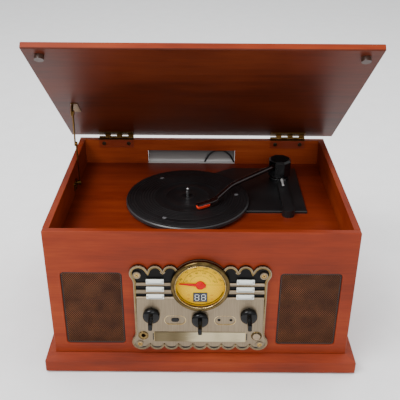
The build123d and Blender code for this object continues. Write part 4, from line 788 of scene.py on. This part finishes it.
def make_plate_details():
    piece("rolled_rim", rolled_rim(plate_outline()), rim_gold, "root")
    bars = []
    for low, high, inner_end in louvre_bars:
        lip = [
            (low, 2.6), (low - 0.1, 4.2), (low + 0.25, 4.9), (low + 0.9, 5.1), (low + 1.6, 4.8),
            (high - 0.3, 3.75), (high, 3.5), (high, 2.6),
        ]
        for start, end in ((-louvre_end, -inner_end), (inner_end, louvre_end)):
            bars.append(plate(along_face, lip[::-1], [(0, start), (0, end)]))
    piece("louvre_lips", joined(*bars), plate_metal_lip, "root")
    slots = []
    for side in (-1, 1):
        slots.append(plate(
            face, rounded_rectangle((side * 69.4, drawer_v), 1.7, 13.0, 0.7), front_edge(3.4, 3.68, 0.1, 3)
        ))
    piece("drawer_end_slots", joined(*slots), slot_black, "root")
    rings, crosses = [], []
    for u, v in screw_places:
        spot = face.moved(u, v)
        rings.append(turned(spot, round_ring(4.7, 0.9, 3.5, 1.3), 48, True))
        for turn in (38, 128):
            crosses.append(plate(spot, bar_outline((0, 0), turn, 2.3, 0.42), [(0, 4.6), (0, 4.86)]))
    washer = [(3.9, 3.66), (5.8, 3.66), (5.8, 3.2), (3.9, 3.2)]
    washers = [turned(face.moved(u, v), washer, 48, True) for u, v in screw_places[:2]]
    piece("screw_washers", joined(*washers), slot_black, "root")
    # Thin dark moons of painted shadow where the rolled rim shades each lower lobe.
    lobe_shadows = []
    half, rise = lobe_pitch / 2, bottom_cusp - bottom_edge
    lobe_radius = (half**2 + rise**2) / (2 * rise)
    for n in range(-3, 4):
        lobe_shadows.append(lobe_shadow(n * lobe_pitch, bottom_edge + lobe_radius, lobe_radius - 2.5, 58))
    for side in (-1, 1):
        lobe_shadows.append(lobe_shadow(side * 83.4, bottom_edge + bottom_corner, bottom_corner - 2.5, 40))
    piece("painted_lobe_shadows", joined(*lobe_shadows), slot_black, "root")
    piece("screw_rings", joined(*rings), gold, "root")
    piece("screw_crosses", joined(*crosses), slot_black, "root")
    lines = []
    for side in (-1, 1):
        slot = rounded_rectangle((side * 36.6, 65.0), 31.0, 16.0, 7.9, 12)
        lines.append(bead(face, slot, round_bead(-0.5, 0.9, 3.45, 0.45, 5)))
    frame_low, frame_high = box_mm("cd_drawer")
    drawer_size = (frame_high - frame_low)[0] + 1.2, 17.0
    drawer_edge = rounded_rectangle((0, drawer_v), *drawer_size, 0.8)
    lines.append(bead(face, drawer_edge, round_bead(-0.3, 0.8, 3.45, 0.4, 5)))
    piece("pill_edges", joined(*lines), line_gold, "root")
    collars = [
        turned(face.moved(jack_u, jack_v), round_ring(7.2, 1.6, 3.4, 1.5), 48, True),
        turned(face.moved(-jack_u, jack_v), round_ring(6.9, 1.4, 3.5, 1.6), 48, True),
    ]
    piece("button_and_jack_collars", joined(*collars), rim_gold, "root")


def round_ring(radius, width, base, height, steps=9):
    """The closed profile of a ring: a half round over a flat foot."""
    turn = np.linspace(0, pi, steps)
    rim = np.column_stack([radius + width / 2 * np.cos(turn), base + height * np.sin(turn)])
    return np.vstack([rim, [(radius - width / 2, base - 0.6), (radius + width / 2, base - 0.6)]])


# Dial
def make_bezel():
    """The bezel's section: an outer round over a hollow, a crown, a slope to the inner lip, and back."""
    section = [(42.5, 3.5)]
    crown = np.linspace(0, pi / 2, 8)
    section += [*zip(39.3 + 3.2 * np.cos(crown), 6.6 + 3.4 * np.sin(crown))]
    section += [
        (38.4, 9.9), (37.6, 9.55), (37.3, 9.2), (36.9, 9.45), (36.4, 9.5), (36.0, 9.2), (36.0, 8.75),
        (37.5, 8.75), (37.5, 3.5),
    ]
    piece(
        "turned_bezel", turned(face.moved(0, dial_v), section, 128, True),
        bezel_gold, "root", ["dial_bezel"],
    )
    inner = round_ring(35.95, 0.8, 8.9, 0.75)
    outer = round_ring(41.95, 0.9, 3.6, 1.5)
    lines = joined(*(turned(face.moved(0, dial_v), one, 128, True) for one in (inner, outer)))
    piece("bezel_lines", lines, line_gold, "root")


def lettering(words, size, spot, out, turn=0.0):
    """Numerals as a flat mesh, centred on a spot of the plate and turned by an angle in degrees."""
    text = bpy.data.curves.new("numerals", "FONT")
    text.body = words
    text.size = size
    text.align_x = "CENTER"
    text.align_y = "CENTER"
    text.extrude = 0.05
    text.resolution_u = 2
    holder = bpy.data.objects.new("numerals", text)
    mesh = bpy.data.meshes.new_from_object(holder)
    points = np.empty(len(mesh.vertices) * 3)
    mesh.vertices.foreach_get("co", points)
    points = points.reshape(-1, 3)
    faces = [list(polygon.vertices) for polygon in mesh.polygons]
    bpy.data.meshes.remove(mesh)
    bpy.data.objects.remove(holder)
    bpy.data.curves.remove(text)
    lean = radians(turn)
    across = points[:, 0] * cos(lean) - points[:, 1] * sin(lean)
    up = points[:, 0] * sin(lean) + points[:, 1] * cos(lean)
    return face.moved(*spot, out).put(np.column_stack([across, up, points[:, 2]])), faces


def ring_part(radius, width, start, end, out, steps=60):
    """A flat ring sector as a thin slab, between two angles in degrees."""
    outer = arc((0, dial_v), radius + width / 2, start, end, steps)
    inner = arc((0, dial_v), radius - width / 2, end, start, steps)
    return plate(face, np.vstack([outer, inner]), [(0, out), (0, out + 0.08)])


def make_dial_print():
    """Scale rings, ticks (every fifth one longer), numerals, a base line, a dark edge band of painted shade
    under the bezel's lip, and red marks.
    """
    out = 2.2
    ink = [(0, out), (0, out + 0.08)]
    outer_ring, inner_ring = 33.6, 24.6
    prints = [
        ring_part(outer_ring, 0.35, 8, 172, out), ring_part(inner_ring, 0.3, 8, 172, out),
        ring_part(15.5, 0.3, 20, 160, out),
    ]
    for angle in np.arange(10, 171, 4):
        longer = 1.0 if round(angle - 10) % 20 == 0 else 0.0
        for radius, length in ((outer_ring, 1.7), (inner_ring, 1.3)):
            half = (length + longer) / 2
            along = np.array([cos(radians(angle)), sin(radians(angle))])
            middle = np.array([0, dial_v]) + along * (radius - half)
            prints.append(plate(face, bar_outline(middle, angle, half, 0.16), ink))
    outer_scale = ("88", "92", "96", "100", "104", "108")
    inner_scale = ("53", "60", "80", "100", "130", "160")
    for n, (outer, inner) in enumerate(zip(outer_scale, inner_scale)):
        angle = 162 - n * 28.8
        for words, radius, size in ((outer, 28.9, 4.3), (inner, 20.4, 3.7)):
            spot = (radius * cos(radians(angle)), dial_v + radius * sin(radians(angle)))
            prints.append(lettering(words, size, spot, out + 0.08, (angle - 90) * 0.55))
    base_line = [(8.0, dial_v - 0.15), (32.0, dial_v - 0.15), (32.0, dial_v + 0.15), (8.0, dial_v + 0.15)]
    prints.append(plate(face, base_line, ink))
    piece("dial_scale", joined(*prints), mark_black, "root")
    # A dark band of painted shade round the card's edge, wider at the top, under the bezel's lip.
    shade = joined(ring_part(35.3, 2.2, 0, 180, out, 90), ring_part(34.9, 1.2, 200, 340, out, 90))
    piece("dial_edge_painted_shade", shade, mark_black, "root")
    marks = []
    for side in (-1, 1):
        for rise in (-3.4, 3.4):
            mark = rounded_rectangle((side * 16.6, display_v + rise), 3.4, 0.9, 0.3, 3)
            marks.append(plate(face, mark, [(0, out), (0, out + 0.1)]))
    piece("dial_red_marks", joined(*marks), mark_red, "root")


def make_display():
    """Two unlit seven-bar figures on a dark window: each bar is a thin slab."""
    bars = []
    for side in (-1, 1):
        for u, v, width, height in (
            (0, 5.0, 4.6, 0.9), (0, 0, 4.6, 0.9), (0, -5.0, 4.6, 0.9),
            (-2.7, 2.5, 0.9, 4.0), (2.7, 2.5, 0.9, 4.0), (-2.7, -2.5, 0.9, 4.0), (2.7, -2.5, 0.9, 4.0),
        ):
            spot = (side * 4.7 + u, display_v + v)
            bars.append(plate(face, rounded_rectangle(spot, width, height, 0.3, 3), [(0, 3.4), (0, 3.56)]))
    piece("display_figures", joined(*bars), digit_pale, "root")


def make_needle():
    """A tapering pointer, a little above level to the left, under a domed hub."""
    spot = face.moved(0, dial_v)
    lean = radians(175.0)
    along = np.array([cos(lean), sin(lean)])
    over = np.array([-along[1], along[0]])
    corners = (
        (-8.0, 2.6), (-7.4, 3.0), (0, 2.6), (30.0, 0.7), (30.5, 0), (30.0, -0.7), (0, -2.6), (-7.4, -3.0),
        (-8.0, -2.6),
    )
    outline = [a * along + b * over for a, b in corners]
    pointer = plate(spot, outline[::-1], front_edge(3.6, 4.8, 0.3, 4))
    hub = turned(spot, [(6.6, 2.5), (6.6, 4.4), (6.3, 5.1), (5.6, 5.5), (3.0, 5.75), (1.0, 5.8)], 64)
    shaft = turned(spot, [(1.5, -5.8), (1.5, 3.0)], 24)
    needle = joined(pointer, hub, shaft)
    piece("pointer_and_hub", needle, needle_red, "needle", ["dial_needle"])


# Knobs, buttons and drawer
def make_knobs():
    """A domed skirt turned round its shaft, a tall grip lofted through rounded sections, and a nub."""
    dome = [
        (11.8, 4.1), (12.4, 4.5), (12.4, 9.2), (12.1, 10.3), (11.1, 11.5), (9.0, 12.7), (5.8, 13.5),
        (1.0, 13.8),
    ]
    for name, (u, v) in zip(knob_names, knob_places):
        spot = face.moved(u, v)
        skirt = turned(spot, dome, 80)
        sections = []
        for out, length, width in (
            (8.0, 17.6, 6.8), (12.5, 17.0, 6.6), (20.0, 15.0, 6.3), (28.0, 12.6, 6.1), (33.6, 11.0, 6.0),
            (34.7, 10.4, 5.4), (35.0, 9.2, 4.2),
        ):
            sections.append((rounded_rectangle((0, 0), width, length, min(1.6, width / 2 - 0.1), 5), out))
        grip = lofted(spot, sections)
        nub = turned(spot.moved(0, 11.8), [(1.6, 4.2), (1.6, 9.4), (1.2, 10.2), (0.5, 10.5)], 24)
        shaft = turned(spot, [(3.0, -8.6), (3.0, 5.0)], 24)
        piece("finished_" + name, joined(skirt, grip, nub, shaft), gloss_black, name, [name])


def make_buttons():
    """Key caps with rounded corners and a soft crowned face, on square stems."""
    for name, (side, row) in zip(button_names, [(s, r) for s in (-1, 1) for r in button_rows]):
        spot = (side * button_u, row)
        key = plate(
            face, rounded_rectangle(spot, 25.4, 8.3, 0.9, 5),
            [(0.3, 2.8), (0, 3.0), (0, 5.1), (0.12, 5.5), (0.45, 5.8), (0.95, 5.95), (2.4, 6.05)],
        )
        stem = plate(face, rounded_rectangle(spot, 8.0, 4.0, 0.4, 3), [(0, -11.2), (0, 3.0)])
        piece("finished_" + name, joined(key, stem), ivory, name, [name])


# Grilles
def make_grilles():
    """Cloth over a frame: its edge rolls back in a quarter round."""
    cloths, bands = [], []
    for side in (-1, 1):
        outline = rounded_rectangle((side * grille_u, grille_v), 87.2, 128.1, 5.3, 8)
        cloths.append(plate(panel_front, outline, front_edge(-6.0, -2.0, 1.6)))
        bands.append(bead(panel_front, outline, round_bead(0.0, 2.2, -2.6, 1.0, 7)))
    piece("grille_cloths", joined(*cloths), grille_weave, "root", ["speaker_grilles"])
    piece("grille_edge_bands", joined(*bands), slot_black, "root")


# Turntable
def make_turntable():
    """A mat with fine ridges and a smooth band among them, three dots on the band, and the spindle."""
    spot = deck.moved(platter_x, platter_y)
    ridges_start, ridge_pitch = 52.5, 4.4
    radius = np.linspace(ridges_start, 96.4, 280)
    wave = np.sin(2 * pi * (radius - ridges_start) / ridge_pitch)
    ridges = 13.15 + 0.32 * np.clip(wave * 1.6 + 0.6, 0, 1)
    ridges[(radius > 76.3) & (radius < 81.3)] = 13.2
    profile = [
        (3.6, 11.0), (3.6, 12.5), (4.1, 12.7), (9.0, 12.7), (9.4, 12.95), (10.6, 12.95), (11.0, 12.7),
        (34.0, 12.7), (34.3, 12.9), (35.4, 12.9), (35.7, 12.7), (50.6, 12.7), (51.2, 13.1), (52.2, 13.4),
        *zip(radius, ridges), (97.0, 13.3), (97.4, 12.9), (97.4, 11.0),
    ]
    piece(
        "ringed_mat", turned(spot, profile[::-1], 144, True), mat_rubber, "turntable",
        ["platter_mat"], crease=50,
    )
    dots = []
    for n in range(3):
        turn = 0.08 + n * 2 * pi / 3
        dot = spot.moved(78.8 * cos(turn), 78.8 * sin(turn))
        dots.append(turned(dot, [(3.4, 13.0), (3.4, 13.3), (3.0, 13.45), (0.4, 13.48)], 24))
    piece("mat_dots", joined(*dots), dot_grey, "turntable")
    tip = [(2.9, -12.0), (2.9, 25.6), (2.7, 26.8), (2.2, 27.9), (1.5, 28.7), (0.5, 29.0)]
    piece("rounded_spindle", turned(spot, tip, 40), chrome, "root", ["spindle"])


# Tonearm
def bent_path(points, radius, steps=12):
    """Straight runs joined by a smooth bend at each inner corner: a parabola between two points that
    stand the radius away from the corner."""
    points = [np.array(point, float) for point in points]
    path = [points[0][None]]
    for before, corner, after in zip(points, points[1:], points[2:]):
        start = corner + (before - corner) * radius / np.linalg.norm(before - corner)
        end = corner + (after - corner) * radius / np.linalg.norm(after - corner)
        t = np.linspace(0, 1, steps)[:, None]
        path.append((1 - t) ** 2 * start + 2 * t * (1 - t) * corner + t**2 * end)
    path.append(points[-1][None])
    return np.concatenate(path)


def make_tonearm():
    lift = np.array([0, 0, deck_z])
    pivot, elbow, neck, tip = (np.array(p) + lift for p in (arm_pivot, arm_elbow, arm_neck, arm_tip))
    path = bent_path([pivot, elbow, neck, neck + (tip - neck) * 0.98], 12.0)
    past = np.linspace(0, 1, len(path))
    in_shell = np.linalg.norm(path - tip, axis=1) < np.linalg.norm(neck - tip) + 4
    across = np.where(in_shell, 5.4, 4.3 - 0.9 * past)
    upright = np.where(in_shell, 2.0, 4.3 - 0.9 * past)
    arm = tube(path, across, upright)
    way = (pivot - elbow)[:2] / np.linalg.norm((pivot - elbow)[:2])
    pin = Place(pivot, (way[0], way[1], 0), Z, np.cross((way[0], way[1], 0), Z))
    trunnion = turned(pin, [(2.5, -10.5), (2.5, 10.5)], 24)
    piece("curved_arm", joined(arm, trunnion), arm_gloss, "arm", ["tonearm"])
    shell_way = (tip - neck)[:2] / np.linalg.norm((tip - neck)[:2])
    under = Place(
        tip - 13.0 * np.array([*shell_way, 0]) - 3.0 * Z,
        (shell_way[0], shell_way[1], 0), (-shell_way[1], shell_way[0], 0), Z,
    )
    sections = (
        (3.0, 15.0, 4.4, 1.4, -4.6), (2.5, 19.0, 6.6, 1.8, -3.6), (2.0, 21.4, 8.4, 2.0, -2.0),
        (2.0, 21.4, 9.4, 2.0, 0.8), (2.0, 20.4, 8.4, 1.8, 1.6),
    )
    body = lofted(under, [
        (rounded_rectangle((shift, 0), length, width, radius), out)
        for shift, length, width, radius, out in sections
    ])
    piece("shaped_cartridge", body, cartridge_red, "arm", ["cartridge"])
    lever_x, lever_y, lever_z = 136, 73.7, deck_z + 14.0
    stick = tube(
        [(lever_x, lever_y - reach, lever_z) for reach in (-2.4, 2, 14, 19.2, 20)],
        [2.5, 2.5, 1.5, 2.2, 1.2], [2.0, 2.2, 1.25, 1.6, 0.9],
    )
    piece("cue_stick", stick, lever_grey, "cue_lever", ["cue_lever"])
    collar = turned(deck.moved(*arm_pivot[:2]), round_ring(14.2, 2.4, 11.2, 1.2), 64, True)
    piece("housing_collar", collar, chrome, "root")


def make_rear_contacts():
    """Bright collars round the holes of the two rear sockets."""
    low, high = box_mm("rear_sockets")
    rear = Place((-120.0, high[1], (low[2] + high[2]) / 2), -X, Z, Y)
    rings = [turned(rear.moved(u, 0), round_ring(3.9, 1.6, -0.1, 0.4), 32, True) for u in (-10, -30)]
    piece("socket_contacts", joined(*rings), gold, "root")


make_boards()
make_plate_details()
make_bezel()
make_dial_print()
make_display()
make_needle()
make_knobs()
make_buttons()
make_grilles()
make_turntable()
make_tonearm()
make_rear_contacts()


# Stage, light and camera
def make_stage():
    size = 12.0
    mesh = bpy.data.meshes.new("floor")
    corners = [(-size, -size, 0), (size, -size, 0), (size, size, 0), (-size, size, 0)]
    mesh.from_pydata(corners, [], [(0, 1, 2, 3)])
    pale = moulding("pale_floor", tone(240, 240, 240), tone(244, 244, 244), (0.7, 0.8), 30.0, 0.0)
    mesh.materials.append(pale)
    floor = bpy.data.objects.new("floor", mesh)
    bpy.context.scene.collection.objects.link(floor)


def area_light(name, place, aim, size, power):
    light = bpy.data.lights.new(name, "AREA")
    light.shape = "RECTANGLE"
    light.size, light.size_y = size
    light.energy = power
    lamp = bpy.data.objects.new(name, light)
    bpy.context.scene.collection.objects.link(lamp)
    lamp.location = place
    lamp.rotation_euler = (Vector(aim) - Vector(place)).to_track_quat("-Z", "Y").to_euler()


def make_lights():
    world = bpy.data.worlds.new("studio")
    bpy.context.scene.world = world
    world.use_nodes = True
    background = world.node_tree.nodes["Background"]
    background.inputs["Color"].default_value = (0.93, 0.94, 0.95, 1)
    background.inputs["Strength"].default_value = 0.95
    area_light("key", (-1.1, -1.0, 2.0), (0, 0, 0.15), (1.4, 1.0), 52)
    area_light("top", (0.3, 0.6, 2.4), (0, 0.1, 0.2), (2.4, 2.0), 50)
    area_light("front", (0.5, -2.4, 1.5), (0, 0, 0.15), (1.2, 0.8), 12)


def make_camera():
    """The lens and place solved from the cabinet's corners: it looks down at the front."""
    yaw, pitch, roll = -0.002, 0.491, 0.006
    ahead = Vector((sin(yaw) * cos(pitch), cos(yaw) * cos(pitch), -sin(pitch)))
    right = Vector((cos(yaw), -sin(yaw), 0))
    up = right.cross(ahead)
    rolled_right = cos(roll) * right + sin(roll) * up
    rolled_up = cos(roll) * up - sin(roll) * right
    data = bpy.data.cameras.new("camera")
    data.lens = 58.585
    data.sensor_width = 36.0
    camera = bpy.data.objects.new("camera", data)
    bpy.context.scene.collection.objects.link(camera)
    camera.matrix_world = Matrix.Translation((-0.00063, -0.91534, 0.6994)) @ Matrix(
        (rolled_right, rolled_up, -ahead)
    ).transposed().to_4x4()
    bpy.context.scene.camera = camera


make_stage()
make_lights()
make_camera()
